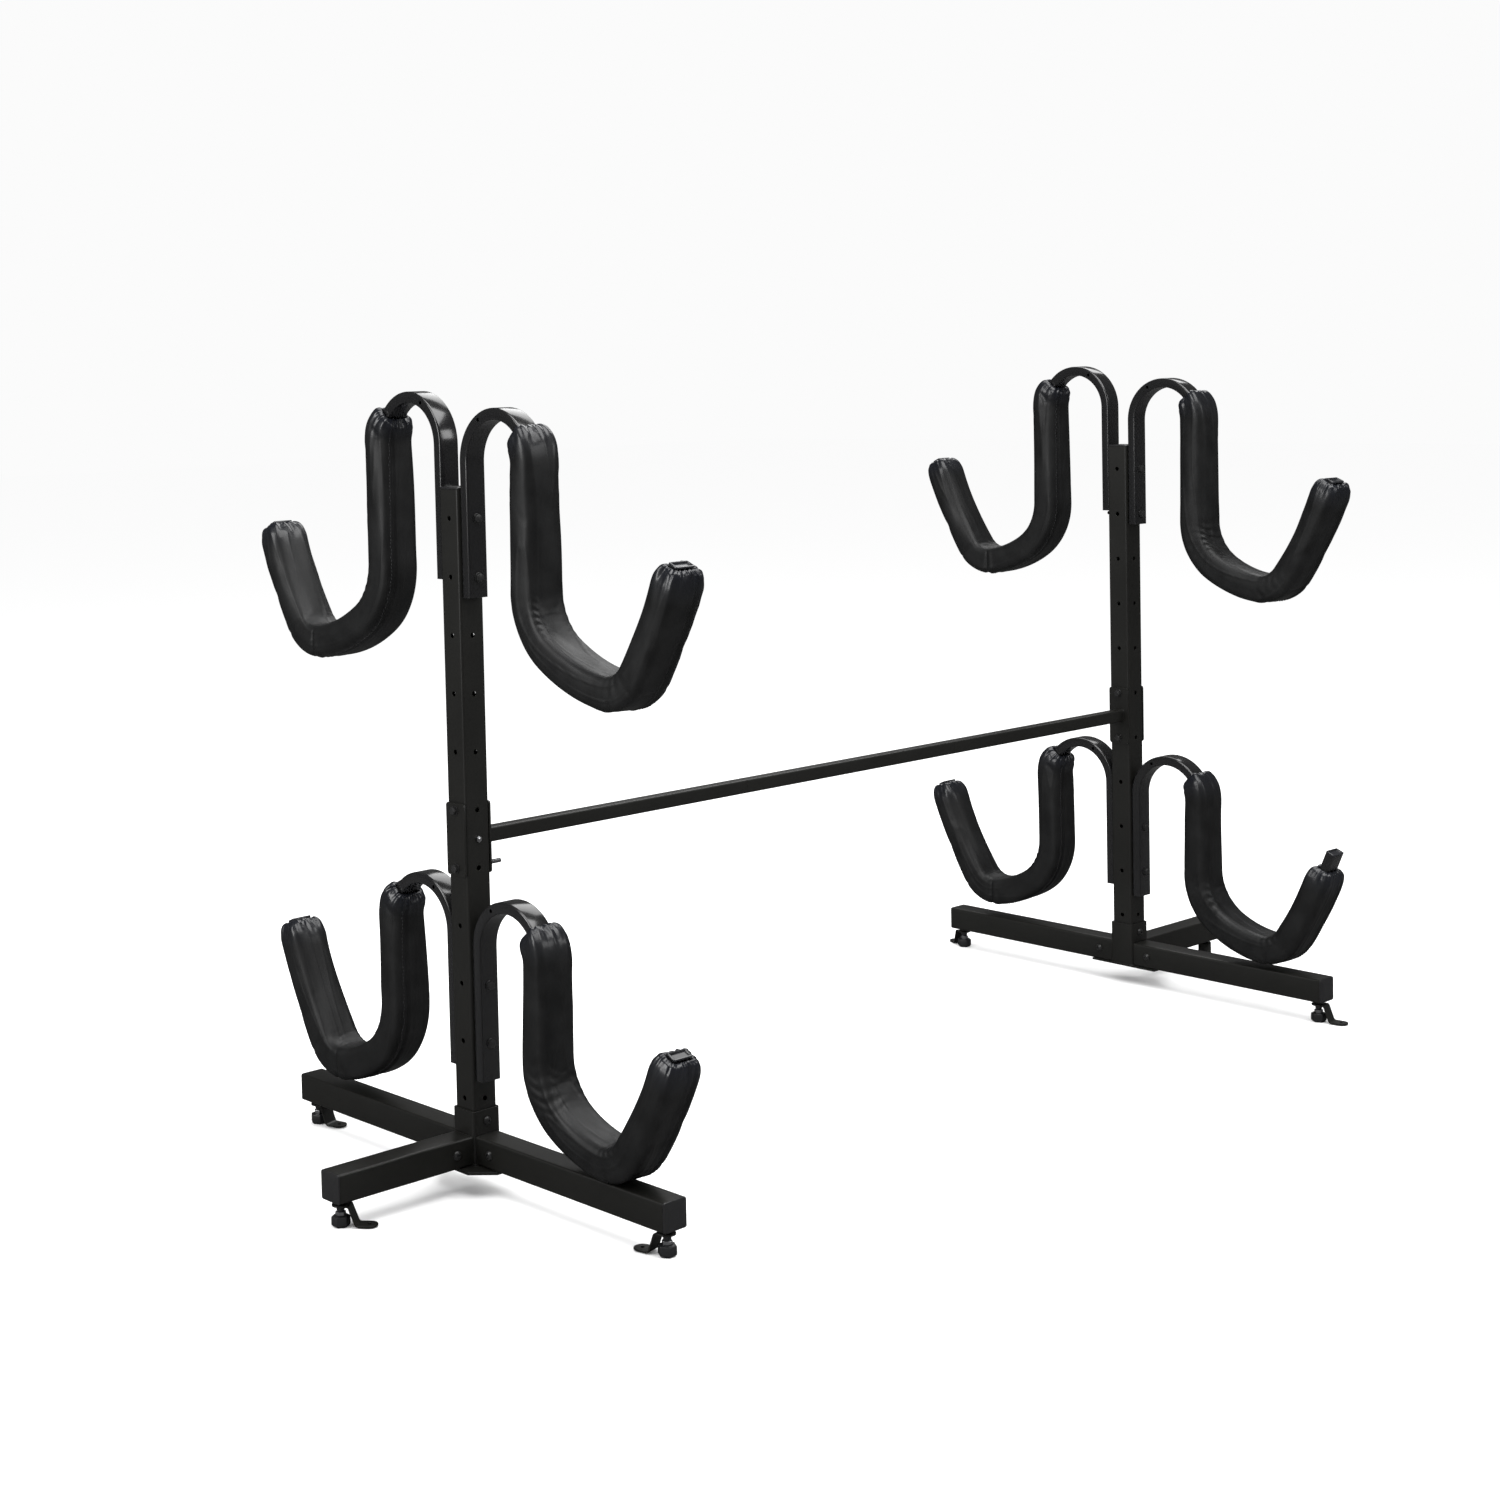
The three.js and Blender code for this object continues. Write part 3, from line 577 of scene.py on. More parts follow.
def domedCap(sizes):
    width, thick = sizes["width"], sizes["cap"] - sizes["dome"]
    rings = []
    for inset, height in ((0.0004, 0.0), (0.0, 0.0006), (0.0, thick * 0.55), (0.0007, thick * 0.85),
                          (0.002, thick), (width * 0.30, thick + sizes["dome"])):
        points = roundedRectangle(width - 2 * inset, width - 2 * inset,
                                  max(sizes["corner"] - inset * 0.5, 0.001))
        rings.append([(x, y, height) for x, y in points])
    return loftRings(rings)


def makePostCap(side):
    sizes = postSizes
    stem = prism(roundedRectangle(sizes["stem"], sizes["stem"], sizes["stemCorner"], 3),
                 -sizes["stemDrop"], sizes["stemRise"])
    makePiece(f"{side}_post_cap_cover", joinMeshes([domedCap(sizes), stem]), "capPlastic", "cap_plastic",
              f"{side}_post_cap", atPost(side, sizes["top"] + sizes["gap"]))


for side in sides:
    makePost(side)
    makePostCap(side)
print("posts done")


# Base: hubs, legs, caps, feet and floor tabs

baseSizes = {"width": 0.050, "corner": 0.004, "wall": 0.002, "boreCorner": 0.002, "bottom": 0.045,
             "sideReach": 0.500, "outerReach": 0.311, "collar": 0.0288, "collarCorner": 0.005,
             "collarTop": 0.137, "collarBore": 0.0506, "collarBoreCorner": 0.0022, "overlap": 0.001,
             "plate": 0.0045, "plateSide": 0.084, "plateOuter": 0.060, "plateCut": 0.036, "cap": 0.004,
             "dome": 0.0004, "gap": 0.0003, "boss": 0.017, "bossHeight": 0.0067, "footInset": 0.021,
             "bead": 0.0016, "beadLift": 0.0004}
legReach = {"front": "sideReach", "rear": "sideReach", "outer": "outerReach"}
tabAngles = {"left_front": 103, "left_outer": -48, "left_rear": -75,
             "right_front": -80, "right_outer": 215, "right_rear": 65}
beadSizes = {"around": 7, "spacing": 0.0022, "waves": ((0.12, 2.2), (0.07, 0.71))}
bossBottom = baseSizes["bottom"] - baseSizes["bossHeight"]
tabTop = bossBottom - baseSizes["gap"]


def outwardAngle(side, position):
    return {"front": -90, "rear": 90, "outer": 180 if side == "left" else 0}[position]


def weldBead(outline, plane, radius):
    path = []
    for index, start in enumerate(outline):
        end = outline[(index + 1) % len(outline)]
        steps = max(1, round(math.dist(start, end) / beadSizes["spacing"]))
        for step in range(steps):
            share = step / steps
            path.append(plane(*(a + (b - a) * share for a, b in zip(start, end))))
    normal = Vector((0, 0, 0))
    for index in range(len(path)):
        normal += path[index - 1].cross(path[index])
    normal.normalize()
    rings = []
    for index, point in enumerate(path):
        ahead = (path[(index + 1) % len(path)] - path[index - 1]).normalized()
        across = ahead.cross(normal).normalized()
        ripple = radius * (1 + sum(size * math.sin(index * rate) for size, rate in beadSizes["waves"]))
        rings.append([point + x * ripple * across + y * ripple * normal
                      for x, y in circle(1, beadSizes["around"])])
    verts, faces = loftRings(rings, False)
    last, count = len(verts) - beadSizes["around"], beadSizes["around"]
    for turn in range(count):
        after = (turn + 1) % count
        faces.append((last + turn, last + after, after, turn))
    return verts, faces


def makeHub(side):
    sizes = baseSizes
    top = sizes["bottom"] - sizes["gap"]
    outer, reach, cut, inner = sizes["plateOuter"], sizes["plateSide"], sizes["plateCut"], -postHalf
    outline = [(outer, reach - cut), (outer - cut, reach), (inner, reach), (inner, -reach),
               (outer - cut, -reach), (outer, cut - reach)]
    collar = roundedRectangle(2 * sizes["collar"], 2 * sizes["collar"], sizes["collarCorner"], 4)
    bore = roundedRectangle(sizes["collarBore"], sizes["collarBore"], sizes["collarBoreCorner"], 4)
    parts = [prism(outline, top - sizes["plate"], top),
             prism(collar, top - sizes["overlap"], sizes["collarTop"], bore)]
    place = atPost(side) @ turnedBy(outwardAngle(side, "outer"))
    makePiece(f"{side}_hub_plate", joinMeshes(parts), "frameSteel", "frame_steel", f"{side}_hub", place,
              bevel=0.0006)
    bead = weldBead(collar, lambda x, y: Vector((x, y, top + sizes["beadLift"])), sizes["bead"])
    makePiece(f"{side}_hub_weld", bead, "frameSteel", "frame_steel", place=place)


def makeLeg(side, position):
    sizes = baseSizes
    name = f"{side}_{position}"
    reach = sizes[legReach[position]]
    place = atPost(side) @ turnedBy(outwardAngle(side, position))
    middle, end = sizes["bottom"] + sizes["width"] / 2, reach - sizes["cap"] - sizes["gap"]
    tube = moved(squareTube(sizes, sizes["collar"] + sizes["gap"], end), laidAlong(middle))
    foot = Matrix.Translation((reach - sizes["footInset"], 0, 0))
    radius = sizes["boss"] / 2
    boss = turned([(radius - 0.0008, bossBottom), (radius, bossBottom + 0.0008),
                   (radius, sizes["bottom"] - 0.0012), (radius + 0.0016, sizes["bottom"] + 0.0006)], 28)
    makePiece(f"{name}_leg_tube", joinMeshes([tube, moved(boss, foot)]), "frameSteel", "frame_steel",
              f"{name}_leg", place, bevel=0.0003)
    makePiece(f"{name}_leg_end", moved(domedCap(sizes), laidAlong(middle, end + sizes["gap"])), "capPlastic",
              "cap_plastic", f"{name}_leg_cap", place)
    makeFoot(name, place @ foot)
    makeTab(name, place @ foot)


footSizes = {"flats": 0.028, "height": 0.019, "bevel": 0.004, "nut": 0.016, "nutHeight": 0.007,
             "spacer": 0.015, "stud": 0.010, "studTop": 0.071, "pitch": 0.0015, "thread": 0.0007}


def makeFoot(name, place):
    sizes = footSizes
    corner = sizes["flats"] / 2 / math.cos(math.pi / 6)
    height, bevel = sizes["height"], sizes["bevel"]
    base = turned([(corner - bevel - 0.0006, 0), (corner - bevel + 0.0004, 0.0004),
                   (corner - 0.0006, bevel - 0.0008), (corner, bevel + 0.0006), (corner, height - 0.0028),
                   (corner - 0.0008, height - 0.001), (corner - 0.003, height)], 6, 0.5)
    top, spacer = height + sizes["nutHeight"], sizes["spacer"] / 2
    under = tabTop - 0.003 - baseSizes["gap"]
    ring = turned([(spacer - 0.0024, top), (spacer - 0.0012, top + 0.0005), (spacer - 0.0006, top + 0.004),
                   (spacer, under - 0.002), (spacer - 0.0003, under - 0.0004), (spacer - 0.001, under)], 32)
    sections, level = [], top - 0.001
    while level < sizes["studTop"]:
        sections += [(sizes["stud"] / 2 - sizes["thread"], level),
                     (sizes["stud"] / 2, level + sizes["pitch"] / 2)]
        level += sizes["pitch"]
    for kind, part, look, node, more in (
            ("base", base, "footPlastic", f"{name}_foot", {"bevel": 0.0007}),
            ("nut", hexagon(sizes["nut"], height, top, 0.0012), "zincPlate", None,
             {"bevel": 0.0004, "segments": 1}),
            ("spacer", ring, "footPlastic", None, {}),
            ("stud", turned(sections, 20), "zincPlate", None, {})):
        makePiece(f"{name}_foot_{kind}", part, look, "foot_plastic", node, place,
                  body=f"{name}_levelling_foot", **more)


tabSizes = {"thick": 0.003, "width": 0.029, "hole": 0.007, "holeAt": 0.048, "webStart": 0.017,
            "webRun": 0.012, "floorGap": 0.002, "bend": 0.0045, "studHole": 0.0106}
tabDrop = tabTop - tabSizes["floorGap"] - tabSizes["thick"]
tabWeb = math.hypot(tabDrop, tabSizes["webRun"])


def tabPath(distance):
    start, run = tabSizes["webStart"], tabSizes["webRun"]
    if distance <= start:
        return distance, tabTop
    if distance <= start + tabWeb:
        share = (distance - start) / tabWeb
        return start + run * share, tabTop - tabDrop * share
    return run + distance - tabWeb, tabTop - tabDrop


def flatTab():
    sizes = tabSizes
    radius, far = sizes["width"] / 2, sizes["holeAt"] + tabWeb - sizes["webRun"]
    outline = []
    for middle, first in ((far, -math.pi / 2), (0, math.pi / 2)):
        for step in range(25):
            angle = first + math.pi * step / 24
            outline.append((middle + radius * math.cos(angle), radius * math.sin(angle)))
    hole = [(far + x, y) for x, y in circle(sizes["hole"] / 2, 24)]
    shape = bmesh.new()
    edges = []
    for loop in (outline, circle(sizes["studHole"] / 2, 28), hole):
        ring = [shape.verts.new((x, y, 0)) for x, y in loop]
        edges += [shape.edges.new(pair) for pair in zip(ring, ring[1:] + ring[:1])]
    bmesh.ops.triangle_fill(shape, use_beauty=True, use_dissolve=False, edges=edges)
    for corner in (sizes["webStart"], sizes["webStart"] + tabWeb):
        for share in (-1, -0.6, -0.2, 0.2, 0.6, 1):
            geometry = shape.verts[:] + shape.edges[:] + shape.faces[:]
            bmesh.ops.bisect_plane(shape, geom=geometry, plane_co=(corner + share * sizes["bend"], 0, 0),
                                   plane_no=(1, 0, 0))
    bmesh.ops.recalc_face_normals(shape, faces=shape.faces)
    shape.verts.index_update()
    verts = [v.co.copy() for v in shape.verts]
    flat = [tuple(v.index for v in face.verts) for face in shape.faces]
    border = [(e.verts[0].index, e.verts[1].index) for e in shape.edges if len(e.link_faces) == 1]
    shape.free()
    return verts, flat, border


def makeTab(name, place):
    sizes, bend = tabSizes, tabSizes["bend"]
    verts, flat, border = flatTab()
    upper, lower = [], []
    for v in verts:
        here, before, after = (tabPath(v.x + shift) for shift in (0, -bend, bend))
        near = min(abs(v.x - corner) for corner in (sizes["webStart"], sizes["webStart"] + tabWeb))
        blend = max(0.0, 1 - near / bend) ** 2 * 0.5
        x, z = (h + ((b + a) / 2 - h) * blend for h, b, a in zip(here, before, after))
        slope = math.atan2(before[1] - after[1], after[0] - before[0])
        upper.append(Vector((x, v.y, z)))
        lower.append(upper[-1] + Vector((-math.sin(slope), 0, -math.cos(slope))) * sizes["thick"])
    count = len(verts)
    faces = flat + [tuple(reversed([i + count for i in face])) for face in flat]
    faces += [(a, b, b + count, a + count) for a, b in border]
    spot = Matrix.Translation(place.to_translation()) @ turnedBy(tabAngles[name])
    makePiece(f"{name}_floor_strip", (upper + lower, faces), "frameSteel", "frame_steel",
              f"{name}_floor_tab", spot, body=f"{name}_tab", bevel=0.0004, angle=50)


for side in sides:
    makeHub(side)
    for position in legReach:
        makeLeg(side, position)
print("base done")


# Crossbar and clamp plates

barSizes = {"width": 0.0254, "wall": 0.0015, "corner": 0.0025, "boreCorner": 0.0009, "leftJoint": -0.275,
            "rightJoint": 0.330, "plate": 0.050, "thick": 0.004, "margin": 0.0125, "plateCorner": 0.005,
            "gap": 0.0003, "spigot": 0.0218, "spigotCorner": 0.001, "spigotReach": 0.069, "bead": 0.0015}
clampHoles = (4, 5)
barHeight = sum(holeHeight(index) for index in clampHoles) / 2
clampFace = postHalf + barSizes["gap"] + barSizes["thick"]


def clampPlate(middle):
    sizes = barSizes
    outline = roundedRectangle(sizes["plate"], postSizes["pitch"] + 2 * sizes["margin"],
                               sizes["plateCorner"], 2)
    return moved(prism(outline, middle - sizes["thick"] / 2, middle + sizes["thick"] / 2),
                 laidAlong(barHeight))


def makeCrossbar():
    sizes = barSizes
    plateAt = postSizes["spacing"] / 2 - postHalf - sizes["gap"] - sizes["thick"] / 2
    outline = roundedRectangle(sizes["width"], sizes["width"], sizes["corner"])
    half = sizes["gap"] / 2
    spans = {"left": (-plateAt, sizes["leftJoint"] - half),
             "middle": (sizes["leftJoint"] + half, sizes["rightJoint"] - half),
             "right": (sizes["rightJoint"] + half, plateAt)}
    for name, (start, end) in spans.items():
        parts = [moved(squareTube(sizes, start, end), laidAlong(barHeight))]
        if name == "middle":
            inner = roundedRectangle(sizes["spigot"], sizes["spigot"], sizes["spigotCorner"])
            parts.append(moved(prism(inner, start - sizes["spigotReach"], end + sizes["spigotReach"]),
                               laidAlong(barHeight)))
        else:
            parts.append(clampPlate(sides[name] * plateAt))
        makePiece(f"{name}_crossbar_tube", joinMeshes(parts), "frameSteel", "frame_steel",
                  f"{name}_crossbar", bevel=0.0004)
        if name != "middle":
            spot = sides[name] * (plateAt - sizes["thick"] / 2)
            bead = weldBead(outline, lambda y, z: Vector((spot, y, barHeight + z)), sizes["bead"])
            makePiece(f"{name}_crossbar_weld", bead, "frameSteel", "frame_steel")


boltSizes = {"bolt": 0.008, "flats": 0.013, "head": 0.0053, "washer": 0.017, "thin": 0.0016, "longEnd": 0.038,
             "chamfer": 0.0009, "pitch": 0.00125, "thread": 0.0005, "smallFlats": 0.010, "smallBolt": 0.006}
buttonSections = ((0.0078, 0), (0.0080, 0.0004), (0.0078, 0.0016), (0.0068, 0.0030), (0.0050, 0.0040),
                  (0.0032, 0.0044), (0.0030, 0.0028), (0.0006, 0.0027))


def threadedEnd(diameter, start, end):
    outer, inner, pitch = diameter / 2, diameter / 2 - boltSizes["thread"], boltSizes["pitch"]
    sections, level = [(inner, start)], start
    while level < end - pitch:
        sections += [(outer, level + pitch / 2), (inner, level + pitch)]
        level += pitch
    sections.append((outer - 0.0012, end))
    return turned(sections, 14)


def makeSource(name, parts):
    obj = newObject(name, joinMeshes(parts), "boltBlack")
    shadeEdges(obj, outward=True)
    return obj


def makeFastenerSources():
    sizes = boltSizes
    clampReach, armReach = clampFace - 0.001, postHalf + 0.019
    washer, thin = sizes["washer"] / 2, sizes["thin"]
    top = thin + sizes["head"]
    ring = turned([(washer - 0.0003, 0), (washer, 0.0003), (washer, thin - 0.0003),
                   (washer - 0.0003, thin)], 26)
    head = hexagon(sizes["flats"], thin, top, sizes["chamfer"])
    dome = turned([(0.0052, top), (0.0045, top + 0.0002)], 20)
    rod = sizes["bolt"] - 0.0004
    return {name: makeSource(name, parts) for name, parts in {
        "head": [ring, head, dome],
        "nut": [ring, head, threadedEnd(sizes["bolt"], 0.002, top + 0.003)],
        "longEnd": [threadedEnd(sizes["bolt"], 0.004, sizes["longEnd"])],
        "button": [turned(buttonSections, 24)],
        "smallNut": [hexagon(sizes["smallFlats"], 0, 0.0042, 0.0008),
                     threadedEnd(sizes["smallBolt"], 0.001, 0.0062)],
        "clampRod": [threadedEnd(rod, -clampReach, clampReach)],
        "armRod": [threadedEnd(rod, -armReach, armReach)],
    }.items()}


sources = makeFastenerSources()


def placeFasteners(name, kind, look, spots):  # a spot is a place and a facing
    obj = newObject(name, ([place for place, facing in spots], []), look)
    attribute = obj.data.attributes.new("facing", "FLOAT_VECTOR", "POINT")
    attribute.data.foreach_set("vector", [value for place, facing in spots for value in facing])
    runTree(obj, "row", look, Piece=sources[kind])
    shadeEdges(obj)
    declare(obj)


def makeClamp(side):
    middle = postX(side) + sides[side] * (clampFace - barSizes["thick"] / 2)
    makePiece(f"{side}_clamp_plate", clampPlate(middle), "frameSteel", "frame_steel", f"{side}_clamp",
              bevel=0.0005)
    heads, nuts, rods = (
        [((postX(side) + shift, 0, holeHeight(index)), (facing, 0, 0)) for index in clampHoles]
        for shift, facing in ((-clampFace, -1), (clampFace, 1), (0, 1)))
    placeFasteners(f"{side}_clamp_rods", "clampRod", "zincPlate", rods)
    placeFasteners(f"{side}_clamp_heads", "head", "boltBlack", heads)
    placeFasteners(f"{side}_clamp_nuts", "nut", "zincPlate", nuts)
    if side == "left":
        placeFasteners("left_clamp_long_end", "longEnd", "zincPlate", nuts[:1])
        placeFasteners("left_post_nut", "smallNut", "zincPlate",
                       [((postX(side), -postHalf, barHeight), (0, -1, 0))])


makeCrossbar()
for side in sides:
    makeClamp(side)
print("crossbar and clamps done")


# Arms. Turns are in degrees; each arm has its shape, its top and the bare length at its tip.

armSizes = {"width": 0.040, "depth": 0.020, "wall": 0.0015, "corner": 0.0032, "arch": 0.082, "tail": 0.230,
            "innerRadius": 0.119, "innerTurn": 58, "shelfTurn": 24, "outerRadius": 0.070,
            "lipRadius": 0.963, "lipTurn": 10, "gap": 0.0003, "step": 0.006,
            "vent": 0.0070, "ventTurn": 62}
armShapes = {
    "upper": {"drop": 0.208, "shelf": 0.340, "outerTurn": 65, "tip": 0.026},
    "shortUpper": {"drop": 0.214, "shelf": 0.255, "outerTurn": 64, "tip": 0.052},
    "lower": {"drop": 0.1535, "shelf": 0.254, "outerTurn": 63, "tip": 0.026},
    "longLower": {"drop": 0.1535, "shelf": 0.254, "outerTurn": 65, "tip": 0.056},
    "bareLower": {"drop": 0.1535, "shelf": 0.254, "outerTurn": 65, "tip": 0.044},
}
armSet = {
    "left_front_upper": ("upper", 1.343, 0.005), "left_rear_upper": ("upper", 1.372, 0.005),
    "left_front_lower": ("lower", 0.512, 0.005), "left_rear_lower": ("longLower", 0.530, 0.005),
    "right_front_upper": ("shortUpper", 1.355, 0.005), "right_rear_upper": ("shortUpper", 1.384, 0.005),
    "right_front_lower": ("bareLower", 0.524, 0.034), "right_rear_lower": ("longLower", 0.542, 0.005),
}


def armPath(kind, top):
    sizes, shape = armSizes, armShapes[kind]
    out = postHalf + sizes["gap"] + sizes["depth"] / 2
    height = top - sizes["depth"] / 2 - sizes["arch"] - sizes["tail"]
    heading, run = math.pi / 2, 0.0
    stations = [(out, height, heading, run)]
    # a straight length has no radius
    for radius, amount in ((0, sizes["tail"]), (sizes["arch"], -180), (0, shape["drop"]),
                           (sizes["innerRadius"], sizes["innerTurn"]), (shape["shelf"], sizes["shelfTurn"]),
                           (sizes["outerRadius"], shape["outerTurn"]),
                           (sizes["lipRadius"], sizes["lipTurn"]), (0, shape["tip"])):
        turn = math.radians(amount) if radius else 0.0
        length = radius * abs(turn) if radius else amount
        steps = max(2, math.ceil(length / sizes["step"])) if radius else max(
            1, math.ceil(length / (2 * sizes["step"])))
        part = turn / steps
        chord = 2 * radius * math.sin(abs(part) / 2) if radius else length / steps
        for step in range(steps):
            out += chord * math.cos(heading + part / 2)
            height += chord * math.sin(heading + part / 2)
            heading += part
            run += length / steps
            stations.append((out, height, heading, run))
    return stations


def armFrame(name):
    side, position = name.split("_")[:2]
    return postX(side), (-1 if position == "front" else 1)


def stationAt(path, run):
    runs = [station[3] for station in path]
    index = max(1, min(len(path) - 1, int(np.searchsorted(runs, run))))
    before, after = path[index - 1], path[index]
    share = (run - before[3]) / (after[3] - before[3])
    return tuple(before[part] + (after[part] - before[part]) * share for part in range(4))


def pointOn(name, station, across=0.0, outward=0.0, ahead=0.0):
    centreX, way = armFrame(name)
    out, height, heading = station[:3]
    along = Vector((0, way * math.cos(heading), math.sin(heading)))
    sideways = Vector((way, 0, 0))
    up = along.cross(sideways)
    return Vector((centreX, way * out, height)) + across * sideways + outward * up + ahead * along


def makeArm(name):
    sizes = armSizes
    path = armPath(*armSet[name][:2])
    line, edges = lineOf([pointOn(name, station) for station in path])
    obj = newObject(f"{name}_arm_tube", line, "armSteel", edges)
    runTree(obj, "sweep", "armSteel", Width=sizes["width"], Depth=sizes["depth"], Corner=sizes["corner"],
            Steps=4)
    wall = obj.modifiers.new("wall", "SOLIDIFY")
    wall.thickness = sizes["wall"]
    wall.offset = -1
    wall.use_rim = True
    cutVent(obj, name, path)
    finishPiece(obj, "arm_steel", f"{name}_arm", angle=40)
    makePlug(name, path[-1])
    return path


def cutVent(obj, name, path):
    sizes = armSizes
    run = sizes["tail"] + sizes["arch"] * math.radians(sizes["ventTurn"])
    drill = turned([(sizes["vent"] / 2, -sizes["width"]), (sizes["vent"] / 2, sizes["width"])], 24)
    place = aim((1, 0, 0), pointOn(name, stationAt(path, run)))
    cutter = newObject(f"{name}_vent_cutter", moved(drill, place), "armSteel")
    cut = obj.modifiers.new("vent", "BOOLEAN")
    cut.object, cut.operation, cut.solver = cutter, "DIFFERENCE", "EXACT"
    bakePlain(obj)
    bpy.data.objects.remove(cutter)


plugSizes = {"thick": 0.004, "rim": 0.003, "inset": 0.0018, "depth": 0.009, "corner": 0.0028}


def makePlug(name, station):
    thick, rim, inset = plugSizes["thick"], plugSizes["rim"], plugSizes["inset"]
    rings = []
    for grow, height in ((-inset, -plugSizes["depth"]), (-inset, 0.0003), (-0.0003, 0.0004), (0, 0.0009),
                         (0, thick - 0.0006), (-0.0006, thick), (-rim + 0.0005, thick),
                         (-rim, thick - 0.0004), (-rim - 0.0004, 0.0014), (-rim - 0.0016, 0.0011)):
        points = roundedRectangle(armSizes["width"] + 2 * grow, armSizes["depth"] + 2 * grow,
                                  max(0.0006, plugSizes["corner"] + grow), 4)
        rings.append([pointOn(name, station, x, y, height + armSizes["gap"]) for x, y in points])
    makePiece(f"{name}_plug_cap", loftRings(rings), "plugPlastic", "cap_plastic", f"{name}_plug", angle=45)


armPaths = {name: makeArm(name) for name in armSet}
holdSizes = {"legBolt": 0.064, "collarBolt": 0.117, "tailEnd": 0.004, "tailTop": 0.01}


def makeArmBolts(side):
    heads, nuts, legs, collars = [], [], [], []
    face = postHalf + armSizes["gap"] + armSizes["depth"]
    for name in armSet:
        top, way = armSet[name][1], armFrame(name)[1]
        tailTop = top - armSizes["depth"] / 2 - armSizes["arch"]
        low, high = tailTop - armSizes["tail"] + holdSizes["tailEnd"], tailTop + holdSizes["tailTop"]
        for height in map(holeHeight, range(postSizes["holes"])):
            if name.startswith(side) and low < height < high:
                (heads if way < 0 else nuts).append(((postX(side), way * face, height), (0, way, 0)))
    levels = sorted({place[2] for place, facing in heads + nuts})
    rods = [((postX(side), 0, height), (0, 1, 0)) for height in levels]
    reach, middle = holdSizes["legBolt"], baseSizes["bottom"] + postHalf
    for way in (-1, 1):
        for facing in (-1, 1):
            legs.append(((postX(side) + facing * postHalf, way * reach, middle), (facing, 0, 0)))
    for way in (-1, 1):
        legs.append(((postX(side) + sides[side] * reach, way * postHalf, middle), (0, way, 0)))
        collars.append(((postX(side), way * baseSizes["collar"], holdSizes["collarBolt"]), (0, way, 0)))
    for label, kind, spots, slot in (
            ("arm_rods", "armRod", rods, "arm_steel"), ("arm_bolts", "head", heads, "arm_steel"),
            ("arm_nuts", "nut", nuts, "arm_steel"), ("leg_bolts", "button", legs, "frame_steel"),
            ("collar_bolts", "button", collars, "frame_steel")):
        placeFasteners(f"{side}_{label}", kind, "boltBlack", spots)


for side in sides:
    makeArmBolts(side)
print("arms done")


# Pads

padSizes = {"halfWidth": 0.0370, "halfDepth": 0.0278, "corner": 0.012, "start": 48, "gather": 0.036,
            "endCover": 0.0030, "slack": 0.001, "around": 56, "spacing": 0.0075, "fineSpacing": 0.0034,
            "crown": 0.0016, "tightTip": 0.010, "overTip": -0.0016, "skirt": 0.012, "skirtStart": 0.003,
            "skirtCorner": 0.003, "bulge": 2.3, "perimeter": 0.245, "fill": 0.75, "swell": 0.0035,
            "foldMargin": 0.02, "foldInset": 0.01, "tipHold": 0.9, "tipReach": 0.002, "roundOff": 0.0005}
clothSettings = {"quality": 4, "mass": 0.25, "tension_stiffness": 22, "compression_stiffness": 12,
                 "shear_stiffness": 6, "bending_stiffness": 0.6, "use_pressure": True,
                 "uniform_pressure_force": 4.0, "shrink_min": -0.035, "shrink_max": -0.035}
clothFrames = 20
coverLabels = ("run", "turnCos", "turnSin", "inside")


def bendRuns(kind):
    sizes, shape = armSizes, armShapes[kind]
    dropEnd = sizes["tail"] + sizes["arch"] * math.pi + shape["drop"]
    innerEnd = dropEnd + sizes["innerRadius"] * math.radians(sizes["innerTurn"])
    shelfEnd = innerEnd + shape["shelf"] * math.radians(sizes["shelfTurn"])
    return dropEnd, innerEnd, shelfEnd, shelfEnd + sizes["outerRadius"] * math.radians(shape["outerTurn"])


def padRunsOf(kind, start, end):
    sizes = padSizes
    dropEnd, innerEnd, shelfEnd, outerEnd = bendRuns(kind)
    margin, inset = sizes["foldMargin"], sizes["foldInset"]
    runs, run = [start], start
    while run < end - sizes["roundOff"]:
        near = min(run - start, end - run)
        folded = (dropEnd + margin < run < innerEnd - inset) or (shelfEnd - margin < run < outerEnd + margin)
        run += sizes["fineSpacing"] if folded or near < sizes["gather"] + inset else sizes["spacing"]
        runs.append(run)
    runs = np.array(runs)
    return start + (runs - start) * (end - start) / (runs[-1] - start)


sectionCache = {}


def sectionPoint(share, halfWidth, halfDepth, corner):
    key = tuple(round(value, 5) for value in (halfWidth, halfDepth, corner))
    if key not in sectionCache:
        fine = roundedRectangle(2 * halfWidth, 2 * halfDepth, corner, 10)
        fine.append(fine[0])
        lengths = np.concatenate([[0], np.cumsum([math.dist(a, b) for a, b in zip(fine, fine[1:])])])
        sectionCache[key] = fine, lengths / lengths[-1]
    fine, lengths = sectionCache[key]
    return [float(np.interp(share, lengths, [point[axis] for point in fine])) for axis in (0, 1)]


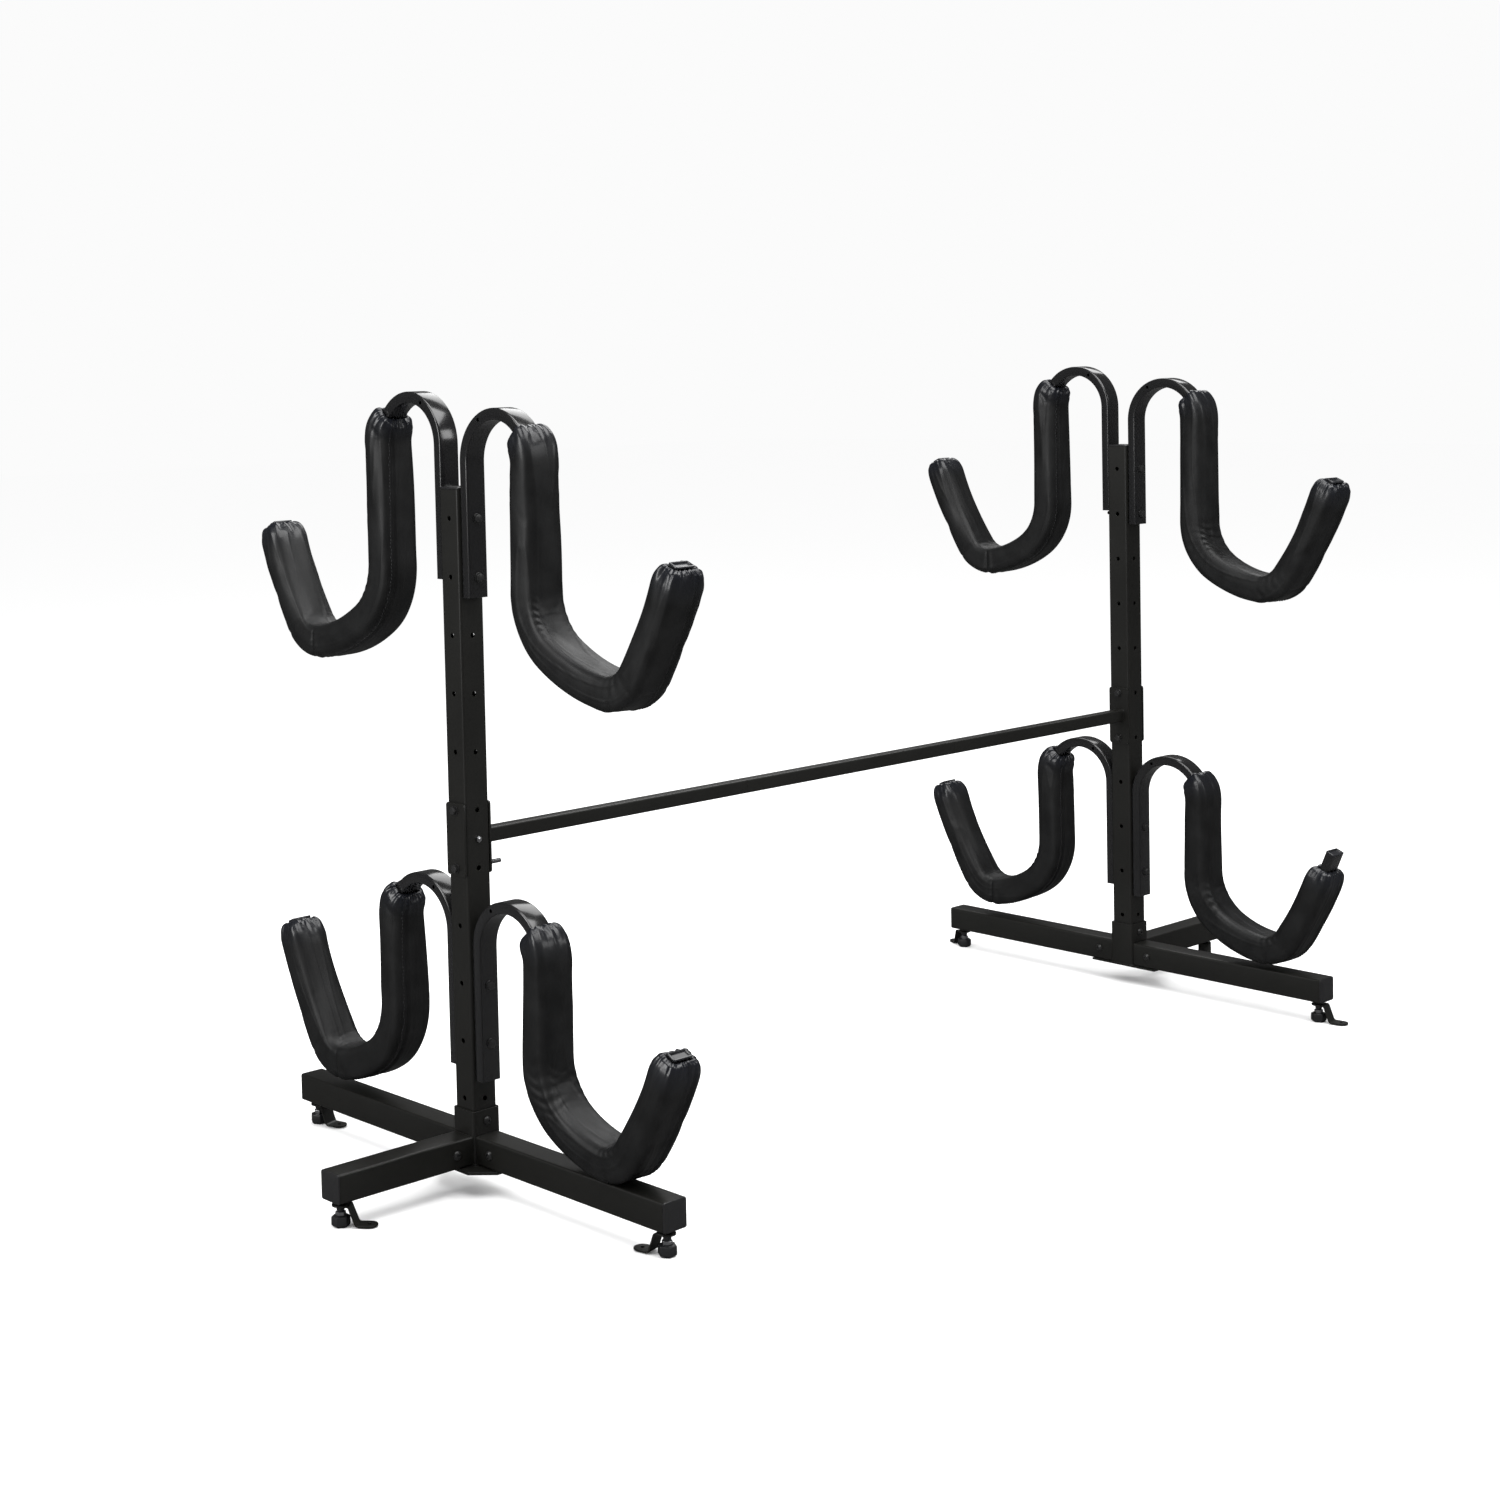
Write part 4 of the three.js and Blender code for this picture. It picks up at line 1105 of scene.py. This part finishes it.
def makePadShape(name, kind, path, bare):
    sizes = padSizes
    start = armSizes["tail"] + armSizes["arch"] * math.radians(90 + sizes["start"])
    end = path[-1][3] - (bare if bare > sizes["tightTip"] else sizes["overTip"])
    rows = [(start + sizes["skirt"], True), (start + sizes["skirtStart"], True)]
    rows += [(run, False) for run in padRunsOf(kind, start, end)]
    rows += [(end - sizes["skirtStart"], True), (end - sizes["skirt"], True)]
    rings, alongs, pins = [], [], []
    for run, skirt in rows:  # the skirt is turned in between the cover and the tube
        station = stationAt(path, run)
        near = min(run - start, end - run)
        share = min(1.0, max(0.0, near / sizes["gather"]))
        full = 0.0 if skirt else math.sqrt(1 - (1 - share) ** sizes["bulge"])
        crown = sizes["crown"] * math.sin(math.pi * (run - start) / (end - start)) * full
        tight = sizes["slack"] + (0 if skirt else sizes["endCover"])
        half = []
        for tube, cover in (("width", "halfWidth"), ("depth", "halfDepth")):
            size = armSizes[tube] / 2 + tight
            half.append(size + (sizes[cover] - size) * full + crown)
        corner = sizes["skirtCorner"] if skirt else min(sizes["corner"], half[1] * 0.45)
        rings.append([pointOn(name, station, *sectionPoint(step / sizes["around"], *half, corner))
                      for step in range(sizes["around"])])
        alongs.append(run - start)
        pins.append(1.0 if skirt else (sizes["tipHold"] if near < sizes["tipReach"] else 0.0))
    return rings, alongs, pins, start, end


def readPoints(values, key):
    found = np.zeros(len(values) * 3, np.float32)
    values.foreach_get(key, found)
    return found.reshape(-1, 3).astype(float)


def simulateCover(obj, pins, rest):
    group = obj.vertex_groups.new(name="held")
    for index, weight in enumerate(pins):
        if weight:
            group.add([index], weight, "REPLACE")
    cloth = obj.modifiers.new("swell", "CLOTH")
    for key, value in clothSettings.items():
        setattr(cloth.settings, key, value)
    cloth.settings.effector_weights.gravity = 0
    cloth.settings.vertex_group_mass = "held"
    cloth.collision_settings.use_collision = False
    cloth.point_cache.frame_start, cloth.point_cache.frame_end = 1, clothFrames
    for step in range(1, clothFrames + 1):
        bpy.context.scene.frame_set(step)
    shown = obj.evaluated_get(bpy.context.evaluated_depsgraph_get()).to_mesh()
    move = readPoints(shown.vertices, "co") - rest
    obj.modifiers.clear()
    obj.vertex_groups.clear()
    bpy.context.scene.frame_set(1)
    length = np.linalg.norm(move, axis=1, keepdims=True)
    capped = np.tanh(length / padSizes["swell"]) * padSizes["swell"]
    return move * capped / np.maximum(length, 1e-9)


def addCoverMap(mesh, alongs):
    count = padSizes["around"]
    layer = mesh.uv_layers.new(name="coverMap")
    for face in mesh.polygons:
        corners = [mesh.loops[index].vertex_index for index in face.loop_indices]
        turns = [(vertex % count) / count for vertex in corners]
        if max(turns) - min(turns) > 0.5:
            turns = [turn + 1 if turn < 0.5 else turn for turn in turns]
        for index, vertex, turn in zip(face.loop_indices, corners, turns):
            layer.data[index].uv = (turn * padSizes["perimeter"], alongs[vertex // count])


def makePad(name, simulated):
    kind, bare = armSet[name][0], armSet[name][2]
    rings, alongs, pins, start, end = makePadShape(name, kind, armPaths[name], bare)
    count = padSizes["around"]
    part = loftRings(rings)
    obj = newObject(f"{name}_pad_cover", part, "padCover")
    rest = np.array([tuple(v) for v in part[0]])
    way = armFrame(name)[1]
    if (kind, bare) not in simulated:
        move = simulateCover(obj, np.repeat(pins, count).tolist(), rest)
        simulated[kind, bare] = move * (way, way, 1)
    rest = rest + simulated[kind, bare] * (way, way, 1)
    mesh = obj.data
    mesh.vertices.foreach_set("co", rest.ravel())
    turns = np.tile(2 * math.pi * np.arange(count) / count, len(rings))
    for label, values in zip(coverLabels, (np.repeat(alongs, count), np.cos(turns), np.sin(turns),
                                           np.repeat(np.array(pins) == 1.0, count))):
        attribute = mesh.attributes.new(label, "FLOAT", "POINT")
        attribute.data.foreach_set("value", values.astype(np.float32))
    addCoverMap(mesh, alongs)
    smooth = obj.modifiers.new("finer", "SUBSURF")
    smooth.levels = smooth.render_levels = 1
    bakePlain(obj)
    foldCover(obj, name, end - start, [place - start for place in bendRuns(kind)])
    addStitches(obj, name)
    for label in coverLabels:
        obj.data.attributes.remove(obj.data.attributes[label])
    obj.data.shade_smooth()
    declare(obj, f"{name}_pad")


def readCover(mesh):
    found = np.zeros((len(coverLabels), len(mesh.vertices)), np.float32)
    for label, values in zip(coverLabels, found):
        mesh.attributes[label].data.foreach_get("value", values)
    run, turnCos, turnSin, inside = found.astype(float)
    points, normals = readPoints(mesh.vertices, "co"), readPoints(mesh.vertex_normals, "vector")
    return points, normals, run, np.arctan2(turnSin, turnCos), inside


def bump(value, middle, width):
    return np.exp(-((value - middle) / width) ** 2)


def awayFrom(turn, middle):
    return np.abs(np.angle(np.exp(1j * (turn - middle))))


foldSizes = {"gather": 0.040, "pleat": 0.0030, "loop": 0.0016, "soft": 0.0022, "ridge": 0.0008,
             "ripple": 0.0011, "rippleLength": 0.021, "outerRipple": 0.4, "innerBend": 0.045,
             "outerBend": 0.034, "tuck": 0.0026, "tuckWidth": 0.0035, "seam": 0.0022, "seamWidth": 0.075,
             "seamAt": math.pi / 2, "seamLip": 0.0007, "gloss": 0.055}


def foldCover(obj, name, length, bends):
    sizes, mesh = foldSizes, obj.data
    points, normals, run, turn, inside = readCover(mesh)
    seed = sum(ord(letter) for letter in name) % 17
    near = np.minimum(run, length - run)
    cosTurn, sinTurn = np.cos(turn), np.sin(turn)

    # Gathered ends: pleats that start deep at the tube and die out
    gather = np.clip(1 - near / sizes["gather"], 0, 1) ** 1.4
    wobble = 0.5 * np.sin(3 * turn + seed) + 0.35 * np.sin(5 * turn + 2.1 * seed)
    pleats = np.abs(np.sin(5.5 * turn + wobble + seed)) ** 0.6
    smallPleats = np.abs(np.sin(9 * turn - wobble + 1.7 * seed))
    depth = -gather * sizes["pleat"] * ((1 - pleats) + 0.4 * (1 - smallPleats))
    loops = np.array([noise.noise(Vector(point) * 75 + Vector((0, 0, seed))) for point in points])
    depth += gather * sizes["loop"] * loops

    # Broad soft folds along the cover
    spots = list(zip(cosTurn, sinTurn, run))
    soft = np.array([noise.noise(Vector((c * 0.95 + seed, s * 0.95, r * 5.5))) for c, s, r in spots])
    folds = np.array([noise.noise(Vector((c * 1.5, s * 1.5 - seed, r * 3.2 + c * 0.5))) for c, s, r in spots])
    ridge = np.maximum(0, 0.12 - np.abs(folds)) / 0.12
    depth += sizes["soft"] * soft + sizes["ridge"] * ridge ** 2

    # Ripples on the hull's side of the bends and two tucks where the tip turns up
    dropEnd, innerEnd, shelfEnd, outerEnd = bends
    wave = np.sin(2 * np.pi * run / sizes["rippleLength"] + 10 * soft + cosTurn * 1.3)
    bent = np.clip(bump(run, (dropEnd + innerEnd) / 2, sizes["innerBend"]) + sizes["outerRipple"] * bump(
        run, (shelfEnd + outerEnd) / 2, sizes["outerBend"]), 0, 1)
    hullSide = np.clip(-sinTurn, 0, 1) ** 0.7
    depth += sizes["ripple"] * wave * bent * hullSide * np.clip(0.55 + 1.6 * folds, 0.1, 1)
    tuckSide = np.clip(0.25 + sinTurn, 0, 1) ** 0.6
    tuckAt = shelfEnd + 0.012 + 0.006 * cosTurn
    for place, width, share in ((tuckAt, sizes["tuckWidth"], -1), (tuckAt - 0.009, 0.006, 0.4),
                                (outerEnd - 0.010 - 0.005 * cosTurn, sizes["tuckWidth"], -0.45)):
        depth += share * sizes["tuck"] * bump(run, place, width) * tuckSide

    # The seam lies on the face away from the hull
    seamGap = awayFrom(turn, sizes["seamAt"])
    depth -= sizes["seam"] * bump(seamGap, 0, sizes["seamWidth"]) * np.clip(near / 0.03, 0, 1)
    depth += sizes["seamLip"] * bump(seamGap, 0.17, 0.07)
    points = points + normals * (depth * (1 - np.clip(inside, 0, 1)))[:, None]
    mesh.vertices.foreach_set("co", points.ravel())
    # Towards the ends the cover gets glossier, and the same attribute paints a bluish sheen into its colour
    glossAndPaintedSheen = mesh.attributes.new("pleatGlossAndPaintedSheen", "FLOAT", "POINT")
    glossAndPaintedSheen.data.foreach_set("value", np.clip(1 - near / sizes["gloss"], 0, 1).astype(np.float32))
    mesh.update()


stitchSizes = {"beside": 0.20, "band": 0.045, "lift": 0.0003, "endGap": 0.035, "step": 0.004,
               "spacing": 0.0065, "length": 0.004, "thickness": 0.0009}


def addStitches(obj, name):
    sizes = stitchSizes
    points, normals, run, turn, inside = readCover(obj.data)
    close = (awayFrom(turn, foldSizes["seamAt"] + sizes["beside"]) < sizes["band"]) & (inside < 0.05)
    order = np.argsort(run[close])
    line = (points + normals * sizes["lift"])[close][order]
    runs = run[close][order]
    grid = np.arange(runs.min() + sizes["endGap"], runs.max() - sizes["endGap"], sizes["step"])
    path, edges = lineOf([tuple(np.interp(value, runs, line[:, axis]) for axis in range(3))
                          for value in grid])
    stitches = newObject(f"{name}_pad_stitches", path, "coverThread", edges)
    runTree(stitches, "stitch", "coverThread", Spacing=sizes["spacing"], Length=sizes["length"],
            Thickness=sizes["thickness"])
    stitches.data.shade_smooth()
    declare(stitches)


simulated = {}
for name in armSet:
    makePad(name, simulated)
    print("pad done:", name)

for piece in sources.values():
    bpy.data.objects.remove(piece)


# Floor and light. Reflections see a dimmer world and floor than the camera does.

studioSizes = {"floor": 60.0, "paint": 0.96, "rough": 0.9, "ambient": 1.0, "reflected": 0.08,
               "floorReflected": 0.06, "seen": 0.965}
lampSet = {  # place, target, size and power
    "topLamp": ((-0.6, -1.2, 4.4), (0, 0, 0.4), (5.0, 3.0), 240.0),
    "sideLamp": ((-5.2, 1.2, 2.4), (0, 0, 0.7), (1.6, 3.0), 125.0),
    "stripLamp": ((2.6, -4.6, 3.0), (0.2, 0, 0.8), (1.6, 1.6), 40.0),
    "backPanel": ((2.9, 2.1, 4.3), (-0.6, -0.3, 0.9), (3.4, 2.8), 85.0),
}


def rayShare(tree, output):
    return tree.nodes.new("ShaderNodeLightPath").outputs[output]


def makeFloorPaint():
    material, tree, shader = newMaterial("studioFloor")[:3]
    pale, dim = (studioSizes["paint"],) * 3, (studioSizes["floorReflected"],) * 3
    wire(tree, shader, {"Base Color": mixColour(tree, rayShare(tree, "Is Glossy Ray"), pale, dim),
                        "Roughness": studioSizes["rough"], "Specular IOR Level": 0.0})
    return material


def makeStudio():
    sizes, half = studioSizes, studioSizes["floor"] / 2
    finish["studioFloor"] = makeFloorPaint()
    corners = [(-half, -half, 0), (half, -half, 0), (half, half, 0), (-half, half, 0)]
    newObject("studio_floor", (corners, [(0, 1, 2, 3)]), "studioFloor")
    world = bpy.data.worlds.new("studioWorld")
    bpy.context.scene.world = world
    world.use_nodes = True
    tree = world.node_tree
    ambient = spread(tree, rayShare(tree, "Is Glossy Ray"), sizes["ambient"], sizes["reflected"])
    seen = spread(tree, rayShare(tree, "Is Camera Ray"), 1.0, sizes["seen"])
    wire(tree, tree.nodes["Background"], {"Strength": mathNode(tree, "MINIMUM", ambient, seen),
                                          "Color": (1, 1, 1, 1)})
    for name, settings in lampSet.items():
        addLamp(name, *settings)


def addLamp(name, place, target, size, energy):
    lamp = bpy.data.lights.new(name, "AREA")
    lamp.shape = "RECTANGLE"
    lamp.size, lamp.size_y = size
    lamp.energy = energy
    obj = addObject(name, lamp)
    obj.location = place
    obj.rotation_mode = "QUATERNION"
    obj.rotation_quaternion = (Vector(target) - Vector(place)).to_track_quat("-Z", "Y")
    obj.visible_camera = False


makeStudio()
bpy.context.scene.view_settings.view_transform = "Standard"
print("studio done")
